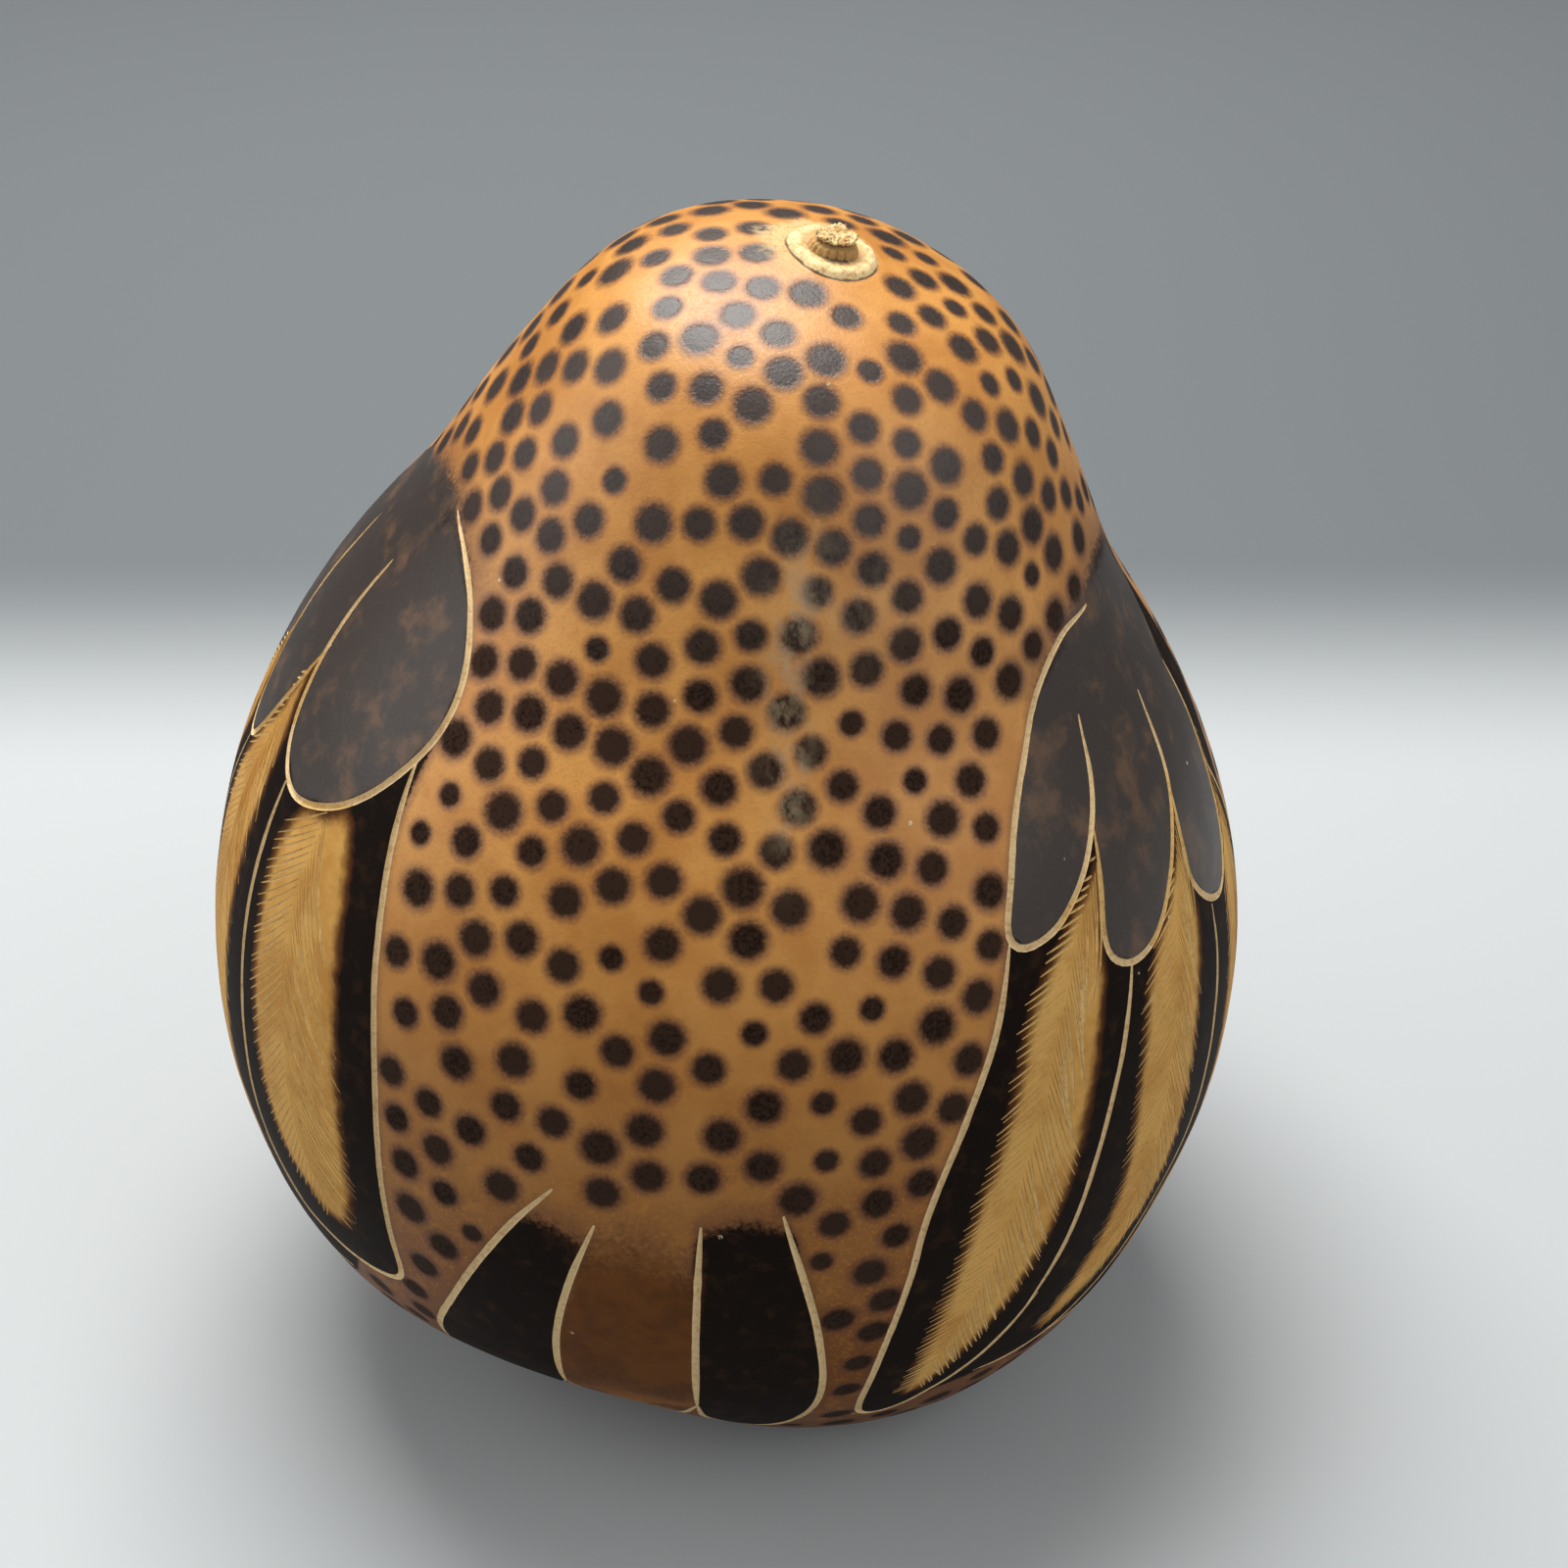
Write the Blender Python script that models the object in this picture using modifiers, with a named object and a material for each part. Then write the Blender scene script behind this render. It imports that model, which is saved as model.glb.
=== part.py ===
"""Carved gourd.

A dried pear-shaped gourd, burnt and engraved as a bird: folded wings of long feathers on its sides, a
short tail low on its back and a face on its far side. It grew as one piece, so it is one solid: the skin,
the corky scar that the vine left on its crown with the broken stub in it, and the carver's gouge cuts.

Metres, +Z up. The origin is the middle of the flat spot that the gourd rests on. Its back faces -Y.
"""

import math

import bmesh
import bpy
from mathutils import Vector

MM = 0.001

# The skin before it leans, as (radius, height) in mm from the rim of the flat spot up to the crown
FLAT_RADIUS = 18.0
SKIN_OUTLINE = [
    (FLAT_RADIUS, 0.0), (32.0, 1.8), (46.0, 7.0), (57.5, 20.0), (66.8, 38.0), (71.0, 60.0), (68.1, 84.0),
    (58.9, 106.0), (45.6, 126.0), (36.4, 143.0), (28.0, 156.0), (18.3, 163.0), (0.0, 168.0),
]
SIDES = 60
RING_SPACING = 6.5

# The neck leans over to one side as it rises, more and more towards the crown
CROWN_LEAN = 13.7
LEAN_GROWTH = 1.45
LEAN_AZIMUTH = 70.0

# Dents and swellings: mm outwards, azimuth and skin distance of the middle, half-widths in degrees and mm
LUMPS = [(-7.5, -25.0, 46.0, 17.0, 16.0), (3.5, 50.0, 52.0, 22.0, 20.0)]
LUMPS_START = 18.0
LUMPS_FULL = 32.0

# Stem scar, in mm from the crown's centre: a broken stub in a shallow dish with a raised corky rim
STUB_RADIUS = 2.5
STUB_HEIGHT = 1.7
RIM_RADIUS = 4.7
RIM_HEIGHT = 0.6
RIM_WIDTH = 0.8
SCAR_CREASE_RADIUS = 5.8
SCAR_CREASE_DEPTH = 0.35
SCAR_CREASE_WIDTH = 0.45
SCAR_RINGS = [0.0, 1.2, 2.1, 2.7, 3.2, 3.8, 4.3, 4.7, 5.2, 5.8, 6.4, 7.5, 10.0, 14.5, 19.0, 24.5]

# The carver's gouge leaves a round-bottomed cut, which runs out shallow at its free ends
GOUGE_WIDTH = 1.3
GOUGE_DEPTH = 0.55
GOUGE_STEP = 4.5
GOUGE_RUN_OUT = 9.0
GOUGE_THIN_END = 0.35

# Cuts as (azimuth in degrees, skin distance in mm from the middle of the flat spot). Azimuth 0 is the
# middle of the view of the back and grows towards +X. A closed cut ends where it starts.
RIGHT_WING_CUTS = {
    "first_covert": [
        (67, 187), (56, 186.5), (47, 182), (41, 175), (36.5, 168), (33.5, 160), (32, 154), (34, 151.5),
        (39, 152.5), (44, 156.5), (48.5, 162), (52, 168), (54.5, 176),
    ],
    "second_covert": [
        (49, 162), (47.5, 155), (46, 149), (46.5, 144.5), (50, 142), (55, 143), (60, 147.5), (65, 154),
        (69, 160.5), (72, 171),
    ],
    "third_covert": [
        (68, 159), (66, 152), (65, 145), (68, 139), (73, 136), (78, 139), (82, 146), (85, 155), (87, 166),
    ],
    "first_feather": [
        (32, 153), (29, 142), (25, 131), (21, 118), (19.5, 106), (18, 90), (17.5, 76), (19, 67.5), (23, 66),
        (28, 73), (33, 82), (37, 92),
    ],
    "first_and_second": [(49.5, 142.5), (47.5, 136), (44, 124), (41, 112), (38.5, 100), (36, 90)],
    "second_and_third": [
        (69, 137), (68, 127), (65.5, 114), (62, 101), (57, 89), (50, 79), (42, 73), (33, 73),
    ],
    "third_feather": [
        (84, 150), (87, 138), (87, 124), (84, 110), (78, 97), (70, 86), (60, 77), (52, 73.5), (44, 74),
    ],
}
LEFT_WING_CUTS = {
    "first_covert": [
        (-70, 187), (-61, 184.5), (-54, 181), (-48, 174.5), (-46.5, 167), (-50, 158), (-56, 151),
        (-64, 147), (-70, 149.5), (-74, 157), (-76.5, 166), (-77, 175),
    ],
    "second_covert": [
        (-75, 162), (-77, 153.5), (-80.5, 145), (-84, 141), (-88, 144), (-91, 152), (-93, 162), (-94, 172),
    ],
    "third_covert": [(-91, 155), (-93, 147), (-96.5, 141), (-100, 139), (-104, 143), (-107, 152), (-109, 164)],
    "first_feather": [
        (-47.5, 163), (-45.5, 154), (-42, 141), (-39, 128), (-37, 113), (-36, 99), (-36.5, 92), (-41, 89),
        (-48, 88.5), (-55, 91), (-60, 98),
    ],
    "first_and_second": [(-67, 147.5), (-66, 138), (-64.5, 125), (-62, 110), (-59, 98), (-54, 91)],
    "second_and_third": [
        (-84, 141), (-86, 130), (-85, 118), (-82, 105), (-76, 94), (-67, 85), (-57, 80), (-48, 82),
    ],
    "third_feather": [
        (-102, 140), (-105, 128), (-104, 114), (-100, 101), (-93, 90), (-84, 81), (-73, 75), (-63, 73),
    ],
}
TAIL_CUTS = {
    "left_edge": [(-17, 120), (-21, 113), (-25, 104), (-29, 94), (-33, 84), (-35, 75)],
    "left_tip": [(-35, 75), (-33, 68), (-27, 66), (-21, 69), (-18, 77)],
    "left_and_middle": [(-12.5, 116), (-15, 105), (-17, 92), (-18, 77)],
    "middle_tip": [(-18, 77), (-15, 67), (-10, 63), (-5, 66), (-2, 76)],
    "middle_and_right": [(-2, 118), (-2, 105), (-2, 92), (-2, 76)],
    "right_feather": [
        (-2, 76), (-1, 65), (3.5, 59), (8.5, 63), (11.5, 73), (12, 84), (10.5, 98), (8.5, 109), (6, 120),
    ],
}

# The face on the far side: a ring round each eye and a beak between them
FACE_AZIMUTH = 172.0
EYE_SPREAD = 23.0
EYE_SKIN_DISTANCE = 188.0
EYE_RING_RADIUS = 12.0
EYE_RING_POINTS = 16
BEAK_CUT = [(0, 182), (-6, 177), (-5.5, 169), (0, 159), (5.5, 169), (6, 177), (0, 182)]


def smooth_point(a, b, c, d, t):
    """The point at t from b to c, on the smooth curve through a, b, c and d."""
    return tuple(
        0.5 * (2 * q + (r - p) * t + (2 * p - 5 * q + 4 * r - s) * t ** 2 + (3 * q - p - 3 * r + s) * t ** 3)
        for p, q, r, s in zip(a, b, c, d)
    )


def smooth_curve(points, closed=False, steps=12):
    """Many points on a smooth curve through a few."""
    if closed:
        chain = [points[-2]] + points + [points[1]]
    else:
        before = tuple(2 * p - q for p, q in zip(points[0], points[1]))
        after = tuple(2 * p - q for p, q in zip(points[-1], points[-2]))
        chain = [before] + points + [after]
    curve = [
        smooth_point(*chain[i:i + 4], step / steps) for i in range(len(chain) - 3) for step in range(steps)
    ]
    return curve + [points[-1]]


def lengths_along(points):
    """The distance of each point from the first, along the curve."""
    total = [0.0]
    for a, b in zip(points, points[1:]):
        total.append(total[-1] + math.dist(a, b))
    return total


def value_at(position, positions, values):
    """The value at a position, straight between the two nearest entries."""
    for i in range(1, len(positions) - 1):
        if position < positions[i]:
            break
    else:
        i = len(positions) - 1
    t = (position - positions[i - 1]) / (positions[i] - positions[i - 1])
    return values[i - 1] + t * (values[i] - values[i - 1])


OUTLINE = [(0.0, 0.0)] + smooth_curve(SKIN_OUTLINE)
OUTLINE_DISTANCES = lengths_along(OUTLINE)
OUTLINE_RADII = [radius for radius, _ in OUTLINE]
OUTLINE_HEIGHTS = [height for _, height in OUTLINE]
SKIN_LENGTH = OUTLINE_DISTANCES[-1]
HEIGHT = OUTLINE_HEIGHTS[-1]


def outline_at(distance):
    """Radius and height at a skin distance."""
    return (
        value_at(distance, OUTLINE_DISTANCES, OUTLINE_RADII),
        value_at(distance, OUTLINE_DISTANCES, OUTLINE_HEIGHTS),
    )


def outward_at(distance):
    """The outline's outward direction at a skin distance, as (radius, height)."""
    if distance <= FLAT_RADIUS:
        return 0.0, -1.0
    low_radius, low_height = outline_at(distance - 0.5)
    high_radius, high_height = outline_at(distance + 0.5)
    length = math.hypot(high_radius - low_radius, high_height - low_height)
    return (high_height - low_height) / length, -(high_radius - low_radius) / length


def ease(value, start, full):
    """0 up to start, 1 from full on, and a smooth change between."""
    t = min(max((value - start) / (full - start), 0.0), 1.0)
    return t * t * (3 - 2 * t)


def bump(offset, width):
    """A bell-shaped bump of height 1."""
    return math.exp(-0.5 * (offset / width) ** 2)


def lump_height(azimuth, distance):
    """How far the dents and swellings push the skin outwards."""
    height = 0.0
    for amount, middle_azimuth, middle_distance, width_degrees, width_mm in LUMPS:
        turn = (azimuth - middle_azimuth + 180) % 360 - 180
        height += amount * bump(turn, width_degrees) * bump(distance - middle_distance, width_mm)
    return height * ease(distance, LUMPS_START, LUMPS_FULL)


def scar_height(azimuth, distance):
    """The stem scar's relief: stub, dish, corky rim and the crease round it."""
    from_centre = SKIN_LENGTH - distance
    turn = math.radians(azimuth)
    stub_edge = STUB_RADIUS * (1 + 0.14 * math.sin(2 * turn + 0.6) + 0.08 * math.sin(5 * turn))
    torn_top = 1 + 0.16 * math.sin(3 * turn + 1.1) * min(from_centre / STUB_RADIUS, 1.0)
    stub = STUB_HEIGHT * torn_top * (1 - ease(from_centre, stub_edge - 0.25, stub_edge + 0.45))
    rim_radius = RIM_RADIUS * (1 + 0.05 * math.sin(2 * turn) + 0.03 * math.sin(3 * turn + 2))
    rim = RIM_HEIGHT * bump(from_centre - rim_radius, RIM_WIDTH)
    crease = SCAR_CREASE_DEPTH * bump(from_centre - SCAR_CREASE_RADIUS, SCAR_CREASE_WIDTH)
    return stub + rim - crease


def lean_angle(height):
    """How far the gourd's middle line has turned from upright at a height."""
    return math.radians(CROWN_LEAN) * max(height / HEIGHT, 0.0) ** LEAN_GROWTH


LEAN_STEPS = 120
LEAN_HEIGHTS = [HEIGHT * i / LEAN_STEPS for i in range(LEAN_STEPS + 1)]
MIDDLE_LINE = [(0.0, 0.0)]
for low, high in zip(LEAN_HEIGHTS, LEAN_HEIGHTS[1:]):
    angle = lean_angle((low + high) / 2)
    side, rise = MIDDLE_LINE[-1]
    MIDDLE_LINE.append((side + (high - low) * math.sin(angle), rise + (high - low) * math.cos(angle)))


def skin_point(azimuth, distance, lift=0.0):
    """The point of the leaning skin at an azimuth and skin distance, lifted outwards by some mm."""
    radius, height = outline_at(distance)
    out_radius, out_height = outward_at(distance)
    relief = lump_height(azimuth, distance) + lift
    radius += out_radius * relief
    height += out_height * relief
    level = min(max(height, 0.0), HEIGHT)
    side = value_at(level, LEAN_HEIGHTS, [point[0] for point in MIDDLE_LINE])
    rise = value_at(level, LEAN_HEIGHTS, [point[1] for point in MIDDLE_LINE]) + height - level
    lean = lean_angle(level)
    turn = math.radians(azimuth - LEAN_AZIMUTH)
    along = side + radius * math.cos(turn) * math.cos(lean)
    across = radius * math.sin(turn)
    rise -= radius * math.cos(turn) * math.sin(lean)
    toward = math.radians(LEAN_AZIMUTH)
    x = along * math.sin(toward) + across * math.cos(toward)
    y = -along * math.cos(toward) + across * math.sin(toward)
    return Vector((x, y, rise)) * MM


def ring_distances():
    """The skin distances of the mesh's rings, from the crown down to the middle of the flat spot."""
    crown = [SKIN_LENGTH - from_centre for from_centre in SCAR_RINGS]
    span = crown[-1] - FLAT_RADIUS
    count = round(span / RING_SPACING)
    return crown + [crown[-1] - span * i / count for i in range(1, count + 1)] + [0.0]


def empty_collection(name):
    """A new collection in the scene."""
    collection = bpy.data.collections.new(name)
    bpy.context.scene.collection.children.link(collection)
    return collection


def new_object(name, data, collection):
    """A new object in a collection."""
    item = bpy.data.objects.new(name, data)
    collection.objects.link(item)
    return item


def evaluated_mesh(item):
    """A mesh of the object with its modifiers applied."""
    bpy.context.view_layer.update()
    depsgraph = bpy.context.evaluated_depsgraph_get()
    return bpy.data.meshes.new_from_object(item.evaluated_get(depsgraph))


def gourd_material():
    """Golden brown skin with a low polish."""
    material = bpy.data.materials.new("gourd_skin")
    material.use_nodes = True
    shader = material.node_tree.nodes["Principled BSDF"]
    shader.inputs["Base Color"].default_value = (0.46, 0.20, 0.06, 1.0)
    shader.inputs["Roughness"].default_value = 0.42
    shader.inputs["Metallic"].default_value = 0.0
    return material


def turned_skin(collection):
    """The upright skin as a turned outline, then leaned, dented and given its scar, ring by ring."""
    distances = ring_distances()
    outline = bpy.data.meshes.new("gourd_outline")
    points = [outline_at(distance) for distance in distances]
    points[0] = (0.0, HEIGHT)
    outline.from_pydata(
        [(radius * MM, 0.0, height * MM) for radius, height in points],
        [(i, i + 1) for i in range(len(points) - 1)], [],
    )
    turned = new_object("gourd_turned", outline, collection)
    screw = turned.modifiers.new("turn", 'SCREW')
    screw.axis = 'Z'
    screw.steps = SIDES
    screw.render_steps = SIDES
    screw.use_merge_vertices = True
    screw.merge_threshold = 0.01 * MM
    mesh = evaluated_mesh(turned)
    bpy.data.objects.remove(turned)

    for vertex in mesh.vertices:
        radius = math.hypot(vertex.co.x, vertex.co.y) / MM
        height = vertex.co.z / MM
        nearest = min(range(len(points)), key=lambda i: math.dist(points[i], (radius, height)))
        distance = distances[nearest]
        azimuth = math.degrees(math.atan2(vertex.co.x, -vertex.co.y))
        vertex.co = skin_point(azimuth, distance, scar_height(azimuth, distance))
    mesh.name = "gourd"
    return new_object("gourd", mesh, collection)


def gouge_path(stroke, closed):
    """Points along a cut at the gouge's step, with how far along it each one is."""
    fine = smooth_curve(stroke, closed)
    travelled = lengths_along([tuple(skin_point(*point) / MM) for point in fine])
    count = max(round(travelled[-1] / GOUGE_STEP), 3)
    path = []
    for i in range(count if closed else count + 1):
        along = travelled[-1] * i / count
        azimuth = value_at(along, travelled, [point[0] for point in fine])
        distance = value_at(along, travelled, [point[1] for point in fine])
        path.append((azimuth, distance, along, travelled[-1] - along))
    return path


def gouge_cutter(name, stroke, collection, run_out=(True, True)):
    """A round bar that follows the skin and takes out one cut. Its free ends are thinner."""
    closed = stroke[0] == stroke[-1]
    bar_radius = (GOUGE_DEPTH ** 2 + (GOUGE_WIDTH / 2) ** 2) / (2 * GOUGE_DEPTH)
    lift = bar_radius - GOUGE_DEPTH
    path = gouge_path(stroke, closed)
    curve = bpy.data.curves.new(name, 'CURVE')
    curve.dimensions = '3D'
    curve.bevel_depth = bar_radius * MM
    curve.bevel_resolution = 2
    curve.use_fill_caps = not closed
    spline = curve.splines.new('POLY')
    spline.points.add(len(path) - 1)
    spline.use_cyclic_u = closed
    for point, (azimuth, distance, from_start, from_end) in zip(spline.points, path):
        thickness = 1.0
        if run_out[0] and not closed:
            thickness = min(thickness, GOUGE_THIN_END + (1 - GOUGE_THIN_END) * from_start / GOUGE_RUN_OUT)
        if run_out[1] and not closed:
            thickness = min(thickness, GOUGE_THIN_END + (1 - GOUGE_THIN_END) * from_end / GOUGE_RUN_OUT)
        point.co = (*skin_point(azimuth, distance, lift * thickness), 1.0)
        point.radius = thickness
    bar = new_object(name + "_bar", curve, collection)
    mesh = evaluated_mesh(bar)
    shell = bmesh.new()
    shell.from_mesh(mesh)
    bmesh.ops.remove_doubles(shell, verts=shell.verts, dist=0.001 * MM)
    bmesh.ops.recalc_face_normals(shell, faces=shell.faces)
    shell.to_mesh(mesh)
    shell.free()
    cutter = new_object(name, mesh, collection)
    cutter.matrix_world = bar.matrix_world
    cutter.hide_render = True
    cutter.display_type = 'WIRE'
    bpy.data.objects.remove(bar)
    return cutter


def eye_ring(side):
    """A closed round cut about an eye, side -1 or +1 of the face's middle."""
    middle = FACE_AZIMUTH + side * EYE_SPREAD
    ring = []
    for i in range(EYE_RING_POINTS + 1):
        turn = 2 * math.pi * (i % EYE_RING_POINTS) / EYE_RING_POINTS
        distance = EYE_SKIN_DISTANCE + EYE_RING_RADIUS * math.sin(turn)
        radius, _ = outline_at(distance)
        ring.append((middle + math.degrees(EYE_RING_RADIUS * math.cos(turn) / radius), distance))
    return ring


def face_cuts():
    """The face's closed cuts."""
    beak = [(FACE_AZIMUTH + azimuth, distance) for azimuth, distance in BEAK_CUT]
    return {"left_eye": eye_ring(-1), "right_eye": eye_ring(1), "beak": beak}


def engrave(gourd, cutters):
    """Take the cutters out of the gourd."""
    groups = {"right": RIGHT_WING_CUTS, "left": LEFT_WING_CUTS, "tail": TAIL_CUTS, "face": face_cuts()}
    for group, strokes in groups.items():
        for name, stroke in strokes.items():
            gouge_cutter("cut_" + group + "_" + name, stroke, cutters)
    cut = gourd.modifiers.new("engraving", 'BOOLEAN')
    cut.operation = 'DIFFERENCE'
    cut.operand_type = 'COLLECTION'
    cut.collection = cutters
    cut.solver = 'EXACT'


def main():
    for item in list(bpy.data.objects):
        bpy.data.objects.remove(item)
    parts = empty_collection("carved_gourd")
    cutters = empty_collection("cutters")
    gourd = turned_skin(parts)
    gourd.data.materials.append(gourd_material())
    gourd.data.shade_smooth()
    gourd.data.set_sharp_from_angle(angle=math.radians(30))
    engrave(gourd, cutters)


main()
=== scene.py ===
# %% [markdown]
# # A burnt and engraved gourd, made in Blender
#
# A carver dries a pear-shaped gourd, burns dots and feathers into its skin and cuts the outlines with a
# small gouge, so that it becomes a bird. We look at its back: dots all over, a folded wing on each side
# and a short tail near the base. The whole gourd grew as one piece, so most of this lesson is about one
# closed skin: its form, the cuts in it, and the marks that the fire left.
#
# The first cell loads the solid model that gives the size and place of everything. All lengths in the
# frame are metres, but a gourd is small, so the lesson thinks in millimetres and scales at the end.

# %% Load the solid model
import math

import bpy
import numpy as np
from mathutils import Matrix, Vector, noise
from mathutils.kdtree import KDTree


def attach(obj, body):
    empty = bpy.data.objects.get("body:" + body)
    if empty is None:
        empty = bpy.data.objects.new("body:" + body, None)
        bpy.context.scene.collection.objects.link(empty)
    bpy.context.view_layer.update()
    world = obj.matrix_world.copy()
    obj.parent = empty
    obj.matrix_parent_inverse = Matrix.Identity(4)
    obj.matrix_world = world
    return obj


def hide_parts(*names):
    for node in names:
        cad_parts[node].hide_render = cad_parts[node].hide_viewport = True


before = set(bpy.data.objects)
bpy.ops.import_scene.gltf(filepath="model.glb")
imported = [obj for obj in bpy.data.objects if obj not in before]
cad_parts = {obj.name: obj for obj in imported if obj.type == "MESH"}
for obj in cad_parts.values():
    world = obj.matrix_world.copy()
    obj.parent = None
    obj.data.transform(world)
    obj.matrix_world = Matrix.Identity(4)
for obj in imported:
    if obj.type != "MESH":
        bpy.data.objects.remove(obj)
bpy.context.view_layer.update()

MM = 0.001

# %% [markdown]
# ## The form of the gourd
#
# A gourd grows round, so half of its outline says nearly everything. We note a few radii and heights and
# draw a smooth curve through them. Such a curve passes through each of its points, which makes it easy to
# adjust: move one point and only its neighbourhood changes.
#
# Two things make it a grown shape and not a turned one. The neck leans over to one side, more and more
# towards the crown, and the skin has a dent low on the back and a swelling beside it.

# %% The outline, the lean and the lumps
FLAT_RADIUS = 18.0
SKIN_OUTLINE = [
    (FLAT_RADIUS, 0.0), (32.0, 1.8), (46.0, 7.0), (57.5, 20.0), (66.8, 38.0), (71.0, 60.0), (68.1, 84.0),
    (58.9, 106.0), (45.6, 126.0), (36.4, 143.0), (28.0, 156.0), (18.3, 163.0), (0.0, 168.0),
]
CROWN_LEAN = 13.7
LEAN_GROWTH = 1.45
LEAN_AZIMUTH = 70.0
LUMPS = [(-7.5, -25.0, 46.0, 17.0, 16.0), (3.5, 50.0, 52.0, 22.0, 20.0)]
LUMPS_START = 18.0
LUMPS_FULL = 32.0


def smooth_curve(points, closed=False, steps=12):
    """Many points on a smooth curve through a few."""
    given = np.array(points, float)
    if closed:
        chain = np.vstack([given[-2], given, given[1]])
    else:
        chain = np.vstack([2 * given[0] - given[1], given, 2 * given[-1] - given[-2]])
    a, b, c, d = (chain[i:len(chain) - 3 + i, None] for i in range(4))
    t = (np.arange(steps) / steps)[None, :, None]
    curve = 0.5 * (2 * b + (c - a) * t + (2 * a - 5 * b + 4 * c - d) * t ** 2
                   + (3 * b - a - 3 * c + d) * t ** 3)
    return np.vstack([curve.reshape(-1, given.shape[1]), given[-1:]])


def lengths_along(points):
    """The distance of each point from the first, along the curve."""
    return np.concatenate([[0.0], np.cumsum(np.linalg.norm(np.diff(points, axis=0), axis=1))])


def ease(value, start, full):
    """0 up to start, 1 from full on, and a smooth change between."""
    t = np.clip((value - start) / (full - start), 0.0, 1.0)
    return t * t * (3 - 2 * t)


def bump(offset, width):
    """A bell-shaped bump of height 1."""
    return np.exp(-0.5 * (offset / width) ** 2)


OUTLINE = np.vstack([[0.0, 0.0], smooth_curve(SKIN_OUTLINE)])
OUTLINE_DISTANCES = lengths_along(OUTLINE)
SKIN_LENGTH = OUTLINE_DISTANCES[-1]
HEIGHT = OUTLINE[-1, 1]
print("from the flat spot to the crown the skin is", round(SKIN_LENGTH, 1), "mm long")

# %% [markdown]
# ## An address for every point of the skin
#
# A carver thinks of a mark as so far round and so far up. We do the same: a place on the skin is an
# azimuth, 0 degrees in the middle of our view and growing to the right, and a distance walked along the
# skin from the middle of the flat spot. One function turns such an address into a point in space, so the
# skin, every cut and every dot use the same words and always agree.

# %% From an address to a point
LEAN_STEPS = 240
LEAN_HEIGHTS = np.linspace(0.0, HEIGHT, LEAN_STEPS + 1)


def lean_angle(height):
    """How far the middle line has turned from upright at a height."""
    return np.radians(CROWN_LEAN) * (np.clip(height, 0.0, HEIGHT) / HEIGHT) ** LEAN_GROWTH


MIDDLE_ANGLES = lean_angle((LEAN_HEIGHTS[:-1] + LEAN_HEIGHTS[1:]) / 2)
MIDDLE_SIDE = np.concatenate([[0.0], np.cumsum(np.diff(LEAN_HEIGHTS) * np.sin(MIDDLE_ANGLES))])
MIDDLE_RISE = np.concatenate([[0.0], np.cumsum(np.diff(LEAN_HEIGHTS) * np.cos(MIDDLE_ANGLES))])


def outline_at(distance):
    """Radius and height at a skin distance."""
    return (np.interp(distance, OUTLINE_DISTANCES, OUTLINE[:, 0]),
            np.interp(distance, OUTLINE_DISTANCES, OUTLINE[:, 1]))


def outward_at(distance):
    """The outline's outward direction at a skin distance, as (radius, height)."""
    low_radius, low_height = outline_at(distance - 0.5)
    high_radius, high_height = outline_at(distance + 0.5)
    length = np.hypot(high_radius - low_radius, high_height - low_height)
    flat = distance <= FLAT_RADIUS
    return (np.where(flat, 0.0, (high_height - low_height) / length),
            np.where(flat, -1.0, (low_radius - high_radius) / length))


def turn_between(azimuth, middle):
    """How far an azimuth is from a middle one, from -180 to 180 degrees."""
    return (azimuth - middle + 180.0) % 360.0 - 180.0


def lump_height(azimuth, distance):
    """How far the dent and the swelling push the skin outwards."""
    height = 0.0
    for amount, middle_azimuth, middle_distance, width_degrees, width_mm in LUMPS:
        across = bump(turn_between(azimuth, middle_azimuth), width_degrees)
        height = height + amount * across * bump(distance - middle_distance, width_mm)
    return height * ease(distance, LUMPS_START, LUMPS_FULL)


def skin_points(azimuth, distance, lift=0.0):
    """Points of the skin in mm at these addresses, lifted outwards."""
    azimuth = np.asarray(azimuth, float)
    distance = np.asarray(distance, float)
    radius, height = outline_at(distance)
    out_radius, out_height = outward_at(distance)
    relief = lump_height(azimuth, distance) + lift
    radius = radius + out_radius * relief
    height = height + out_height * relief
    level = np.clip(height, 0.0, HEIGHT)
    side = np.interp(level, LEAN_HEIGHTS, MIDDLE_SIDE)
    rise = np.interp(level, LEAN_HEIGHTS, MIDDLE_RISE) + height - level
    lean = lean_angle(level)
    turn = np.radians(azimuth - LEAN_AZIMUTH)
    along = side + radius * np.cos(turn) * np.cos(lean)
    across = radius * np.sin(turn)
    rise = rise - radius * np.cos(turn) * np.sin(lean)
    toward = math.radians(LEAN_AZIMUTH)
    x = along * math.sin(toward) + across * math.cos(toward)
    y = -along * math.cos(toward) + across * math.sin(toward)
    return np.stack(np.broadcast_arrays(x, y, rise), -1)


print("the crown stands over", skin_points(0.0, SKIN_LENGTH).round(1), "mm")

# %% [markdown]
# ## The stem scar
#
# Where the vine was, the crown has a corky disc about 11 mm across: a raised rim, a crease round it, a
# shallow dish, and in the middle the torn stub of the stem. The rim, dish and crease are only relief on
# the skin, so they are a height that is added to it. The stub stands proud and is made as a piece of its
# own further on.

# %% The relief of the scar
RIM_RADIUS = 4.7
RIM_HEIGHT = 0.6
RIM_WIDTH = 0.8
CREASE_RADIUS = 5.8
CREASE_DEPTH = 0.35
CREASE_WIDTH = 0.3
SCAR_FRONT = -15.0
SCAR_SPREAD = -125.0


def scar_wobble(azimuth):
    """How much wider than a true circle the scar is on each side."""
    turn = np.radians(azimuth)
    return 1 + 0.05 * np.sin(2 * turn) + 0.03 * np.sin(3 * turn + 2)


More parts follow.
